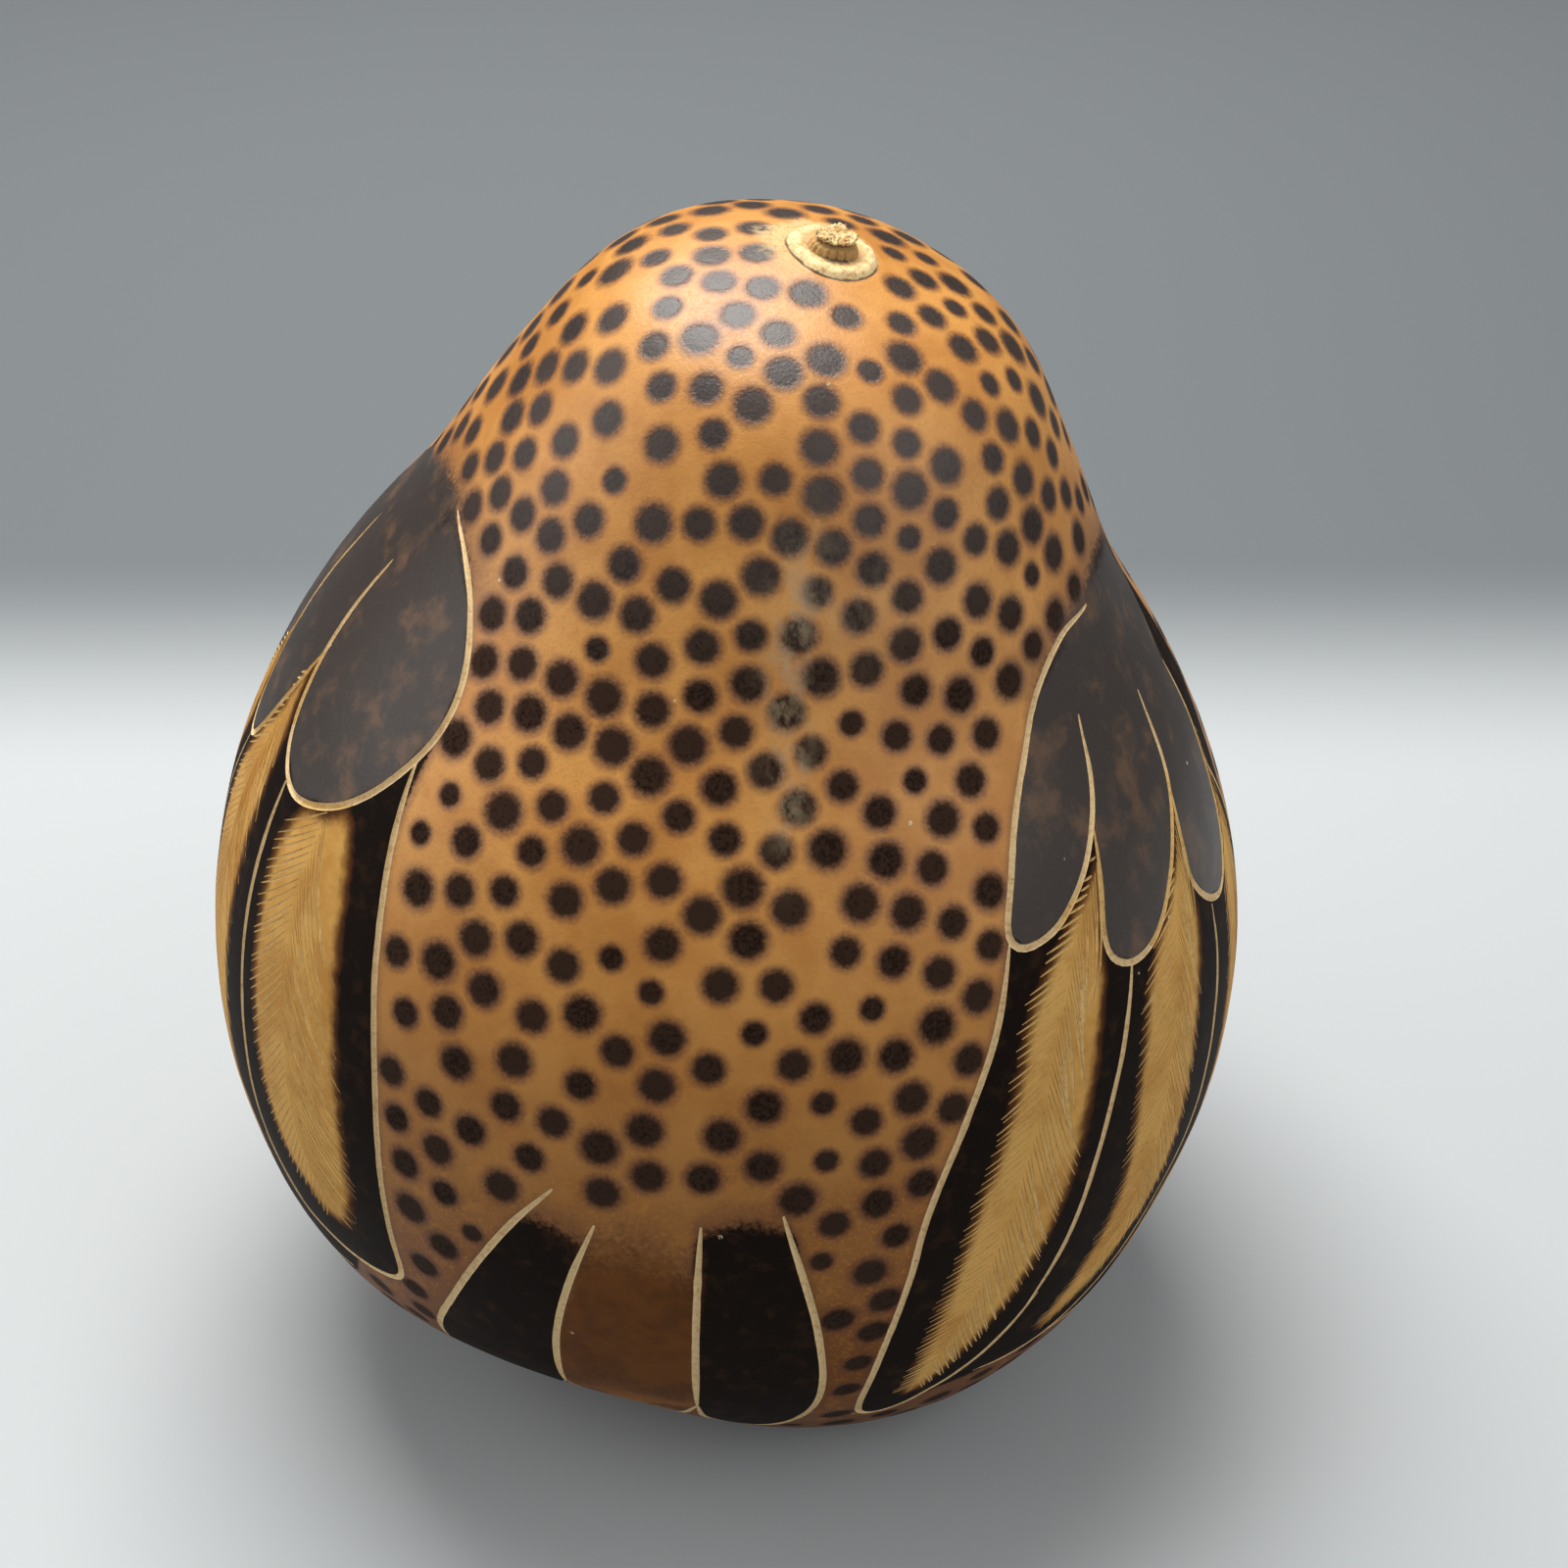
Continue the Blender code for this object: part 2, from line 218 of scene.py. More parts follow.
def scar_height(azimuth, distance):
    """The height of the corky rim and the crease round it."""
    from_centre = (SKIN_LENGTH - distance) / scar_wobble(azimuth)
    turn = np.radians(azimuth)
    notches = 1 + 0.25 * np.sin(7 * turn + 1) * np.sin(4 * turn)
    rim = RIM_HEIGHT * notches * bump(from_centre - RIM_RADIUS, RIM_WIDTH)
    return rim - CREASE_DEPTH * bump(from_centre - CREASE_RADIUS, CREASE_WIDTH)


# %% [markdown]
# ## The skin as a mesh
#
# A flat grid of squares is wrapped round the form: its width becomes the azimuth and its height the skin
# distance. The two sides of the grid meet at the back of the far side and its top and bottom rows shrink
# to points, so one merge by distance closes it. We could also have spun the outline, but the grid gives
# even squares that can be packed closer where the scar needs them.

# %% Wrap a grid into the skin
SIDES = 288
RING_STEP = 1.55
SCAR_STEP = 0.42
SCAR_REACH = 10.5
FLAT_STEP = 4.5
WELD_REACH = 0.001


def ring_distances():
    """The skin distance of each row of squares, from the flat spot to the crown."""
    flat = np.arange(0.0, FLAT_RADIUS, FLAT_STEP)
    body = np.linspace(FLAT_RADIUS, SKIN_LENGTH - SCAR_REACH,
                       round((SKIN_LENGTH - SCAR_REACH - FLAT_RADIUS) / RING_STEP) + 1)
    crown = np.linspace(SKIN_LENGTH - SCAR_REACH, SKIN_LENGTH, round(SCAR_REACH / SCAR_STEP) + 1)
    return np.concatenate([flat, body, crown[1:]])


def deselect_all():
    """Leave edit mode if need be, and select nothing."""
    if bpy.context.object and bpy.context.object.mode != 'OBJECT':
        bpy.ops.object.mode_set(mode='OBJECT')
    bpy.ops.object.select_all(action='DESELECT')


def select_only(item):
    """Make one object the selected and active one."""
    deselect_all()
    item.select_set(True)
    bpy.context.view_layer.objects.active = item


def coordinates(mesh):
    """The vertices as rows of numbers, in mm."""
    flat = np.empty(len(mesh.vertices) * 3, np.float32)
    mesh.vertices.foreach_get("co", flat)
    return flat.reshape(-1, 3).astype(float) / MM


def move_vertices(mesh, points):
    """Put the vertices at these places, given in mm."""
    mesh.vertices.foreach_set("co", (points * MM).astype(np.float32).ravel())
    mesh.update()


def flat_grid(name, columns, rows):
    """A flat grid of squares, and how far across and up it each vertex lies, from 0 to 1."""
    deselect_all()
    bpy.ops.mesh.primitive_grid_add(x_subdivisions=columns, y_subdivisions=rows, size=1.0)
    item = bpy.context.object
    item.name = name
    item.data.name = name
    return item, coordinates(item.data) * MM + 0.5


def weld(reach):
    """Merge the active mesh's points that are within this many mm, and turn its faces outwards."""
    bpy.ops.object.mode_set(mode='EDIT')
    bpy.ops.mesh.select_all(action='SELECT')
    bpy.ops.mesh.remove_doubles(threshold=reach * MM)
    bpy.ops.mesh.normals_make_consistent(inside=False)
    bpy.ops.object.mode_set(mode='OBJECT')


RINGS = ring_distances()
skin, grid = flat_grid("gourd_skin", SIDES, len(RINGS) - 1)
azimuth = grid[:, 0] * 360.0 - 180.0
distance = np.interp(grid[:, 1] * (len(RINGS) - 1), np.arange(len(RINGS)), RINGS)
move_vertices(skin.data, skin_points(azimuth, distance, scar_height(azimuth, distance)))
weld(WELD_REACH)
print("the skin has", len(skin.data.polygons), "faces in", len(RINGS), "rows")

# %% [markdown]
# ## The carver's outlines
#
# Each feather is drawn with one or two pulls of a gouge. We write a cut as a few addresses and let the
# smooth curve do the rest. The two wings are not mirror images: the carver drew them by hand on a leaning
# gourd, so each wing has its own list.

# %% The cuts, as addresses on the skin
RIGHT_WING_CUTS = {
    "first_covert": [
        (67, 187), (56, 186.5), (47, 182), (41, 175), (36.5, 168), (33.5, 160), (32, 154), (34, 151.5),
        (39, 152.5), (44, 156.5), (48.5, 162), (52, 168), (54.5, 176),
    ],
    "second_covert": [
        (49, 162), (47.5, 155), (46, 149), (46.5, 144.5), (50, 142), (55, 143), (60, 147.5), (65, 154),
        (69, 160.5), (72, 171),
    ],
    "third_covert": [
        (68, 159), (66, 152), (65, 145), (68, 139), (73, 136), (78, 139), (82, 146), (85, 155), (87, 166),
    ],
    "first_feather": [
        (32, 153), (29, 142), (25, 131), (21, 118), (19.5, 106), (18, 90), (17.5, 76), (19, 67.5), (23, 66),
        (28, 73), (33, 82), (37, 92),
    ],
    "first_and_second": [(49.5, 142.5), (47.5, 136), (44, 124), (41, 112), (38.5, 100), (36, 90)],
    "second_and_third": [
        (69, 137), (68, 127), (65.5, 114), (62, 101), (57, 89), (50, 79), (42, 73), (33, 73),
    ],
    "third_feather": [
        (84, 150), (87, 138), (87, 124), (84, 110), (78, 97), (70, 86), (60, 77), (52, 73.5), (44, 74),
    ],
}
LEFT_WING_CUTS = {
    "first_covert": [
        (-70, 187), (-61, 184.5), (-54, 181), (-48, 174.5), (-46.5, 167), (-50, 158), (-56, 151),
        (-64, 147), (-70, 149.5), (-74, 157), (-76.5, 166), (-77, 175),
    ],
    "second_covert": [
        (-75, 162), (-77, 153.5), (-80.5, 145), (-84, 141), (-88, 144), (-91, 152), (-93, 162), (-94, 172),
    ],
    "third_covert": [
        (-91, 155), (-93, 147), (-96.5, 141), (-100, 139), (-104, 143), (-107, 152), (-109, 164),
    ],
    "first_feather": [
        (-47.5, 163), (-45.5, 154), (-42, 141), (-39, 128), (-37, 113), (-36, 99), (-36.5, 92), (-41, 89),
        (-48, 88.5), (-55, 91), (-60, 98),
    ],
    "first_and_second": [(-67, 147.5), (-66, 138), (-64.5, 125), (-62, 110), (-59, 98), (-54, 91)],
    "second_and_third": [
        (-84, 141), (-86, 130), (-85, 118), (-82, 105), (-76, 94), (-67, 85), (-57, 80), (-48, 82),
    ],
    "third_feather": [
        (-102, 140), (-105, 128), (-104, 114), (-100, 101), (-93, 90), (-84, 81), (-73, 75), (-63, 73),
    ],
}
TAIL_CUTS = {
    "left_edge": [(-17, 120), (-21, 113), (-25, 104), (-29, 94), (-33, 84), (-35, 75)],
    "left_tip": [(-35, 75), (-33, 68), (-27, 66), (-21, 69), (-18, 77)],
    "left_and_middle": [(-12.5, 116), (-15, 105), (-17, 92), (-18, 77)],
    "middle_tip": [(-18, 77), (-15, 67), (-10, 63), (-5, 66), (-2, 76)],
    "middle_and_right": [(-2, 118), (-2, 105), (-2, 92), (-2, 76)],
    "right_feather": [
        (-2, 76), (-1, 65), (3.5, 59), (8.5, 63), (11.5, 73), (12, 84), (10.5, 98), (8.5, 109), (6, 120),
    ],
}
FACE_AZIMUTH = 172.0
EYE_SPREAD = 23.0
EYE_DISTANCE = 188.0
EYE_RING_RADIUS = 12.0
BEAK_CUT = [(0, 182), (-6, 177), (-5.5, 169), (0, 159), (5.5, 169), (6, 177), (0, 182)]


def ring_round(azimuth, distance, radius, points=16):
    """A closed round line on the skin, as addresses."""
    turn = 2 * math.pi * np.arange(points + 1) / points
    turn[-1] = 0.0
    along = distance + radius * np.sin(turn)
    return np.stack([azimuth + np.degrees(radius * np.cos(turn) / outline_at(along)[0]), along], -1)


EYES = [(FACE_AZIMUTH + side * EYE_SPREAD, EYE_DISTANCE) for side in (-1, 1)]
BEAK = np.array(BEAK_CUT, float) + (FACE_AZIMUTH, 0.0)
FACE_CUTS = {"left_eye": ring_round(*EYES[0], EYE_RING_RADIUS),
             "right_eye": ring_round(*EYES[1], EYE_RING_RADIUS), "beak": BEAK}
ALL_CUTS = {**{"right_" + name: cut for name, cut in RIGHT_WING_CUTS.items()},
            **{"left_" + name: cut for name, cut in LEFT_WING_CUTS.items()},
            **{"tail_" + name: cut for name, cut in TAIL_CUTS.items()}, **FACE_CUTS}
print(len(ALL_CUTS), "outlines to cut")

# %% [markdown]
# ## Bars that cut
#
# A gouge leaves a round-bottomed furrow. Taking a round bar out of the skin gives the same furrow, so we
# lay a bar along each line, mostly above the skin and partly in it. A curve with a bevel makes such a bar
# at once, with a radius of its own at each point. That lets the cut run out thin at a free end and lets
# its width shake a little, as a hand does. Each curve becomes a mesh, and its end caps are welded.

# %% Lay bars along lines on the skin
GOUGE_WIDTH = 0.98
GOUGE_DEPTH = 0.45
GOUGE_STEP = 1.1
GOUGE_RUN_OUT = 9.0
THIN_END = 0.3
TAPER = 0.7
HAND_SHAKE = 0.1
SHAKES = [(1.0, 2.2, 0), (0.7, 0.9, 50)]
BAR_WELD_REACH = 0.0005


def shake(place, scale, seed):
    """A smooth random value from about -1 to 1 that changes over a distance of scale mm."""
    return noise.noise(Vector((place / scale, seed * 7.3, seed * 1.7)))


def gouge_line(cut, seed):
    """A cut as points, bar radii and closed or not: (points in mm, radii in mm, closed)."""
    closed = tuple(cut[0]) == tuple(cut[-1])
    fine = smooth_curve(cut, closed)
    travelled = lengths_along(skin_points(fine[:, 0], fine[:, 1]))
    count = round(travelled[-1] / GOUGE_STEP)
    along = np.linspace(0.0, travelled[-1], count + 1)[:count if closed else None]
    azimuth = np.interp(along, travelled, fine[:, 0])
    distance = np.interp(along, travelled, fine[:, 1])
    thickness = np.ones(len(along))
    if not closed:
        to_end = np.minimum(along, travelled[-1] - along)
        thickness = THIN_END + (1 - THIN_END) * np.minimum(to_end / GOUGE_RUN_OUT, 1.0) ** TAPER
    wander = [sum(share * shake(place, scale, seed + extra) for share, scale, extra in SHAKES)
              for place in along]
    thickness = thickness * (1 + HAND_SHAKE * np.array(wander))
    bar = (GOUGE_DEPTH ** 2 + (GOUGE_WIDTH / 2) ** 2) / (2 * GOUGE_DEPTH)
    return skin_points(azimuth, distance, (bar - GOUGE_DEPTH) * thickness), bar * thickness, closed


def bars_mesh(name, lines, sides_setting):
    """One mesh object of closed round bars that follow these lines."""
    curve = bpy.data.curves.new(name, 'CURVE')
    curve.dimensions = '3D'
    curve.bevel_depth = MM
    curve.bevel_resolution = sides_setting
    curve.use_fill_caps = True
    for points, radii, closed in lines:
        spline = curve.splines.new('POLY')
        spline.points.add(len(points) - 1)
        spline.use_cyclic_u = closed
        spline.points.foreach_set("co", np.column_stack([points * MM, np.ones(len(points))]).ravel())
        spline.points.foreach_set("radius", np.asarray(radii, float))
    bars = bpy.data.objects.new(name, curve)
    bpy.context.scene.collection.objects.link(bars)
    select_only(bars)
    bpy.ops.object.convert(target='MESH')
    weld(BAR_WELD_REACH)
    return bpy.context.object


outline_bars = [bars_mesh(name, [gouge_line(cut, i)], 3) for i, (name, cut) in enumerate(ALL_CUTS.items())]
print("the outline bars have", sum(len(bars.data.polygons) for bars in outline_bars), "faces")

# %% [markdown]
# ## The barbs of the feathers
#
# Inside each long feather the skin is scraped to a golden tan and scored with fine slanting cuts, the
# barbs, which meet on the feather's middle line and point up it. They are far too many to draw by hand,
# but they follow a rule: one cut every 1.2 mm on each side of the middle line, running down and outwards
# until the edge of the tan patch. We give each patch its outline and middle line, and a seeded random
# draw makes the cuts uneven. Bars that cross can't be cut in one go, so at the end we share them out among
# sets in which no two touch.

# %% The tan patches and their barbs
VANES = {
    "right_first": {"edge": [
        (49.3, 161.5), (45.5, 157), (40, 152.5), (35.5, 147.5), (32.3, 142), (30.7, 135), (28.3, 126),
        (26, 117), (24.3, 108), (23, 96), (22.3, 85), (21.8, 76), (23.5, 72), (26.5, 76), (29.5, 84),
        (33, 93), (36, 103), (38.5, 113), (41, 124), (43, 133), (45.2, 142), (46, 148), (48, 155),
        (49.3, 161.5),
    ], "middle": [
        (48.5, 159), (42, 150.5), (38.5, 143.5), (35.8, 136.5), (34, 129), (32, 121), (30.3, 113),
        (28.8, 105), (27.3, 97), (25.8, 88), (24, 76),
    ]},
    "right_second": {"edge": [
        (68.3, 158.5), (64, 152.5), (58.5, 146), (54, 142), (50.7, 137), (48.6, 128), (47.2, 118),
        (46.3, 108), (44.6, 98), (42.3, 89), (40, 81), (40.5, 77), (45, 79.5), (51, 86), (55.5, 93),
        (58, 101), (59.5, 111), (61, 121), (63, 130), (65.3, 138), (65.4, 146), (66.8, 153),
        (68.3, 158.5),
    ], "middle": [
        (67.3, 156.5), (61.5, 147), (58.5, 139), (56, 130), (54.3, 121), (52.8, 111), (51, 101),
        (48.3, 92), (45, 84.5), (41.5, 79),
    ]},
    "right_third": {"edge": [
        (87.3, 161), (84, 151), (79.5, 141.5), (75.5, 137), (73.3, 130), (72, 121), (69.5, 111),
        (66, 101), (61, 91), (55, 82.5), (54, 78.5), (60, 80.5), (68, 88), (75.5, 97), (81, 108),
        (84.3, 120), (85, 132), (84.3, 141), (85.5, 151), (87.3, 161),
    ], "middle": [
        (86, 156), (82.5, 145.5), (80.2, 136), (78.8, 126), (76.8, 116), (73.5, 106), (68.8, 96.5),
        (62.5, 87.5), (56, 80.5),
    ]},
    "left_first": {"edge": [
        (-53, 152.5), (-57.5, 150), (-62, 147), (-63.7, 141), (-63, 132), (-61.3, 122), (-59, 112),
        (-55.5, 104), (-51.5, 98), (-46.5, 94.5), (-42.5, 97), (-41, 104), (-41.5, 112), (-43, 121),
        (-44.8, 131), (-46.8, 140), (-49.5, 148), (-53, 152.5),
    ], "middle": [
        (-56.5, 150.5), (-56.5, 144), (-56, 137), (-55, 130), (-53.8, 123), (-52.3, 116), (-51, 110),
        (-49.2, 104), (-46, 97),
    ]},
    "left_second": {"edge": [
        (-76.3, 160.5), (-78, 151), (-82, 142.5), (-83.7, 134), (-83.5, 124), (-81.5, 112),
        (-77.5, 102), (-71, 93.5), (-64, 88), (-61.5, 91.5), (-65.5, 101), (-68, 111), (-68.8, 122),
        (-69, 132), (-70, 142), (-72, 151), (-76.3, 160.5),
    ], "middle": [
        (-76, 157.5), (-76.7, 147), (-76.8, 137), (-76.3, 127), (-75.2, 117), (-73, 107.5),
        (-69, 98.5), (-63.5, 90),
    ]},
    "left_third": {"edge": [
        (-92, 154), (-95, 147), (-99, 141), (-102, 134), (-101.8, 122), (-99, 109), (-92.5, 98),
        (-83.5, 90), (-75, 84.5), (-73, 88), (-80.5, 97), (-86, 107), (-88.3, 119), (-88.5, 131),
        (-87.5, 141), (-90, 149), (-92, 154),
    ], "middle": [
        (-92, 151), (-94.5, 142), (-95.3, 132), (-95, 121), (-92.5, 110), (-87, 100), (-80, 92),
        (-74.5, 86.5),
    ]},
}
BARB_PITCH = 1.2
BARB_FIRST = {-1: 0.6, 1: 1.2}
BARB_SLANTS = {-1: 46.0, 1: 27.0}
BARB_SLANT_SPREAD = 1.5
BARB_PLACE_SPREAD = 0.06
BARB_WIDTH = 0.36
BARB_DEPTH = 0.18
BARB_SIZES = (0.85, 1.1)
BARB_START = 0.35
BARB_OVERSHOOT = (-0.3, 0.9)
BARB_SHORTEST = 1.5
BARB_LONGEST = 24.0
BARB_STEP = 0.3
BARB_BEND = 0.012
BARB_THICKNESS = np.array([0.55, 0.95, 1.0, 0.85, 0.3])
BARB_ROOM = 0.7
BARB_SAMPLES = 25
draw = np.random.default_rng(11)


def inside(outline, azimuth, distance):
    """Which addresses lie inside a closed outline of addresses."""
    middle = outline[:, 0].mean()
    x, y = turn_between(azimuth, middle), distance
    corners = np.column_stack([turn_between(outline[:, 0], middle), outline[:, 1]])
    crossings = np.zeros(np.shape(x), int)
    for (x0, y0), (x1, y1) in zip(corners[:-1], corners[1:]):
        if y0 != y1:
            crosses = (y0 > y) != (y1 > y)
            crossings += crosses & (x < x0 + (y - y0) * (x1 - x0) / (y1 - y0))
    return crossings % 2 == 1


def barb_line(start, heading, edge):
    """One barb from the middle line until it leaves the patch, or None if it is too short."""
    reach = np.arange(BARB_STEP, BARB_LONGEST, BARB_STEP)
    walked = np.cumsum(np.full(len(reach), BARB_STEP))
    distance = start[1] + walked * math.cos(heading) * (1 - BARB_BEND * reach)
    across = walked * math.sin(heading)
    azimuth = start[0] + np.degrees(across / outline_at(distance)[0])
    within = inside(edge, azimuth, distance)
    count = len(reach) if within.all() else int(np.argmin(within))
    length = reach[0] * count + draw.uniform(*BARB_OVERSHOOT)
    if length < BARB_SHORTEST:
        return None
    place = np.linspace(BARB_START, length, len(BARB_THICKNESS))
    bar = (BARB_DEPTH ** 2 + (BARB_WIDTH / 2) ** 2) / (2 * BARB_DEPTH) * draw.uniform(*BARB_SIZES)
    points = skin_points(np.interp(place, reach, azimuth), np.interp(place, reach, distance),
                         (bar - BARB_DEPTH) * BARB_THICKNESS)
    return points, bar * BARB_THICKNESS, False


def barbs_of(vane, side):
    """The barbs on one side of a patch's middle line."""
    edge = smooth_curve(vane["edge"], closed=True)
    middle = smooth_curve(vane["middle"])
    travelled = lengths_along(skin_points(middle[:, 0], middle[:, 1]))
    lines = []
    for along in np.arange(BARB_FIRST[side], travelled[-1] - 1.0, BARB_PITCH):
        here, ahead = (np.array([np.interp(place, travelled, middle[:, i]) for i in (0, 1)])
                       for place in (along, along + 0.5))
        sideways = math.radians(ahead[0] - here[0]) * outline_at(here[1])[0]
        down_the_feather = math.atan2(sideways, ahead[1] - here[1])
        slant = BARB_SLANTS[side] + draw.normal(0.0, BARB_SLANT_SPREAD)
        heading = down_the_feather - side * math.radians(slant)
        line = barb_line(here + (0.0, draw.normal(0.0, BARB_PLACE_SPREAD)), heading, edge)
        if line:
            lines.append(line)
    return lines


def shared_out(lines):
    """Share the lines out among sets in which no two lines touch."""
    sets = []
    for line in lines:
        count = len(BARB_THICKNESS)
        places = np.linspace(0, count - 1, BARB_SAMPLES)
        path = np.stack([np.interp(places, range(count), line[0][:, i]) for i in range(3)], -1)
        for members, paths in sets:
            if np.linalg.norm(np.concatenate(paths)[:, None] - path, axis=2).min() > BARB_ROOM:
                break
        else:
            members, paths = [], []
            sets.append((members, paths))
        members.append(line)
        paths.append(path)
    return [members for members, paths in sets]


barb_lines = [line for side in BARB_SLANTS for vane in VANES.values() for line in barbs_of(vane, side)]
barb_bars = [bars_mesh("barbs", lines, 1) for lines in shared_out(barb_lines)]
print(len(barb_lines), "barbs in", len(barb_bars), "sets")
print("the barb bars have", sum(len(bars.data.polygons) for bars in barb_bars), "faces")

# %% [markdown]
# ## Take the bars out of the skin
#
# A Boolean modifier subtracts one closed shape from another. Blender's newest solver for it wants closed
# shapes that don't overlap themselves, and is very fast. Outlines meet and cross, so each is cut by itself.
# The barbs already lie in sets in which none touches another, so each set goes at once. Bars that have
# cut are thrown away.

# %% Engrave
def subtract(item, cutter):
    """Cut one object out of another and apply it, then throw the cutter away."""
    cut = item.modifiers.new("engraving", 'BOOLEAN')
    cut.operation = 'DIFFERENCE'
    cut.object = cutter
    cut.solver = 'MANIFOLD'
    select_only(item)
    bpy.ops.object.modifier_apply(modifier=cut.name)
    bpy.data.objects.remove(cutter)


for bars in outline_bars + barb_bars:
    subtract(skin, bars)
print("the engraved skin has", len(skin.data.polygons), "faces")

# %% [markdown]
# ## Read the addresses back
#
# The cuts made new vertices, and the marks of the fire have to know where each vertex lies. So we turn
# our function round: undo the lean, find the place on the outline, and what is left over is how far the
# vertex sits above or below the uncut skin. Faces that are clearly below it are fresh cuts.

# %% From a point back to an address
OUTLINE_CENTRE = 60.0
OUTLINE_ANGLES = np.arctan2(OUTLINE[:, 0], OUTLINE[:, 1] - OUTLINE_CENTRE)
CUT_LIMIT = -0.02
LEAN_ROUNDS = 12
LUMP_ROUNDS = 4


def addresses_of(points):
    """Azimuth, skin distance and height above the plain skin of points in mm."""
    toward = math.radians(LEAN_AZIMUTH)
    along = points[:, 0] * math.sin(toward) - points[:, 1] * math.cos(toward)
    across = points[:, 0] * math.cos(toward) + points[:, 1] * math.sin(toward)
    level = points[:, 2].copy()
    for _ in range(LEAN_ROUNDS):
        held = np.clip(level, 0.0, HEIGHT)
        lean = lean_angle(level)
        side = along - np.interp(held, LEAN_HEIGHTS, MIDDLE_SIDE)
        rise = points[:, 2] - np.interp(held, LEAN_HEIGHTS, MIDDLE_RISE) - (level - held)
        level = level + side * np.sin(lean) + rise * np.cos(lean)
    outward = side * np.cos(lean) - rise * np.sin(lean)
    azimuth = LEAN_AZIMUTH + np.degrees(np.arctan2(across, outward))
    radius = np.hypot(outward, across)
    lump = np.zeros(len(points))
    out_radius = np.zeros(len(points))
    out_height = np.zeros(len(points))
    for _ in range(LUMP_ROUNDS):
        angle = np.arctan2(radius - out_radius * lump, level - out_height * lump - OUTLINE_CENTRE)
        distance = np.interp(angle, OUTLINE_ANGLES[::-1], OUTLINE_DISTANCES[::-1])
        lump = lump_height(azimuth, distance)
        out_radius, out_height = outward_at(distance)
    plain_radius, plain_height = outline_at(distance)
    above = (radius - plain_radius) * out_radius + (level - plain_height) * out_height - lump
    return turn_between(azimuth, 0.0), distance, above


POINTS = coordinates(skin.data)
AZIMUTH, DISTANCE, ABOVE = addresses_of(POINTS)
print("the deepest cut is", round(-ABOVE[DISTANCE < SKIN_LENGTH - SCAR_REACH].min(), 2), "mm")

# %% [markdown]
# ## Where the fire went
#
# Every burnt area is an outline on the skin too, and for each vertex we note how many millimetres it lies
# inside that outline, or outside it with a minus sign. Such a distance is kinder than a yes or no: between
# two vertices it blends evenly, so a material can draw a clean edge, a soft one or a brown border from the
# same number. The black wings run up to their outer cuts, the tan patches lie inside them, and the small
# feathers of the shoulder have a colour of their own.

# %% Distances to the outlines
REACH = 14.0
RIGHT_SHOULDER = RIGHT_WING_CUTS["first_covert"][6:0:-1] + [
    (67, 188), (78, 190), (92, 186), (97, 175), (96, 160), (90, 148),
]
LEFT_SHOULDER = LEFT_WING_CUTS["first_covert"][4:0:-1] + [
    (-71, 187), (-82, 186), (-94, 181), (-104, 174), (-112, 164), (-111, 150),
]
WINGS = [
    RIGHT_SHOULDER + RIGHT_WING_CUTS["third_feather"][1:] + [(33, 72), (28, 71)]
    + RIGHT_WING_CUTS["first_feather"][8:0:-1],
    LEFT_SHOULDER + LEFT_WING_CUTS["third_feather"][1:] + [(-56, 76), (-48, 81), (-44, 88.5)]
    + LEFT_WING_CUTS["first_feather"][7:0:-1],
]
COVERTS = [
    RIGHT_WING_CUTS["first_covert"],
    RIGHT_WING_CUTS["second_covert"] + [(76, 190), (58, 189), (50, 180), (50, 168)],
    RIGHT_WING_CUTS["third_covert"] + [(97, 176), (92, 187), (70, 190), (68, 170)],
    LEFT_WING_CUTS["first_covert"],
    LEFT_WING_CUTS["second_covert"] + [(-98, 182), (-84, 188), (-70, 189), (-73, 176)],
    LEFT_WING_CUTS["third_covert"] + [(-108, 176), (-100, 182), (-92, 184), (-91, 165)],
]
TAIL_FEATHERS = {
    "left": [(-14, 119), (-17, 119.5)] + TAIL_CUTS["left_edge"][1:] + TAIL_CUTS["left_tip"][1:]
            + TAIL_CUTS["left_and_middle"][2::-1] + [(-12, 118)],
    "right": [(-2, 119), (-2, 92)] + TAIL_CUTS["right_feather"][:8] + [(6, 119.5)],
    "middle": [(-12, 118)] + TAIL_CUTS["left_and_middle"][1:] + TAIL_CUTS["middle_tip"][1:]
              + [(-2, 92), (-2, 118.5)],
}
TAIL_TOPS = {"left": (-19.0, 114.5, 4.0), "right": (3.0, 118.5, 4.0), "middle": (-9.0, 117.0, 9.0)}
TAIL_TOP_CURVE = 0.05
PUPIL_RADIUS = 4.8
SHOULDER_TOP = (179.0, 187.0)
SHOULDER_SOFTNESS = 4.0


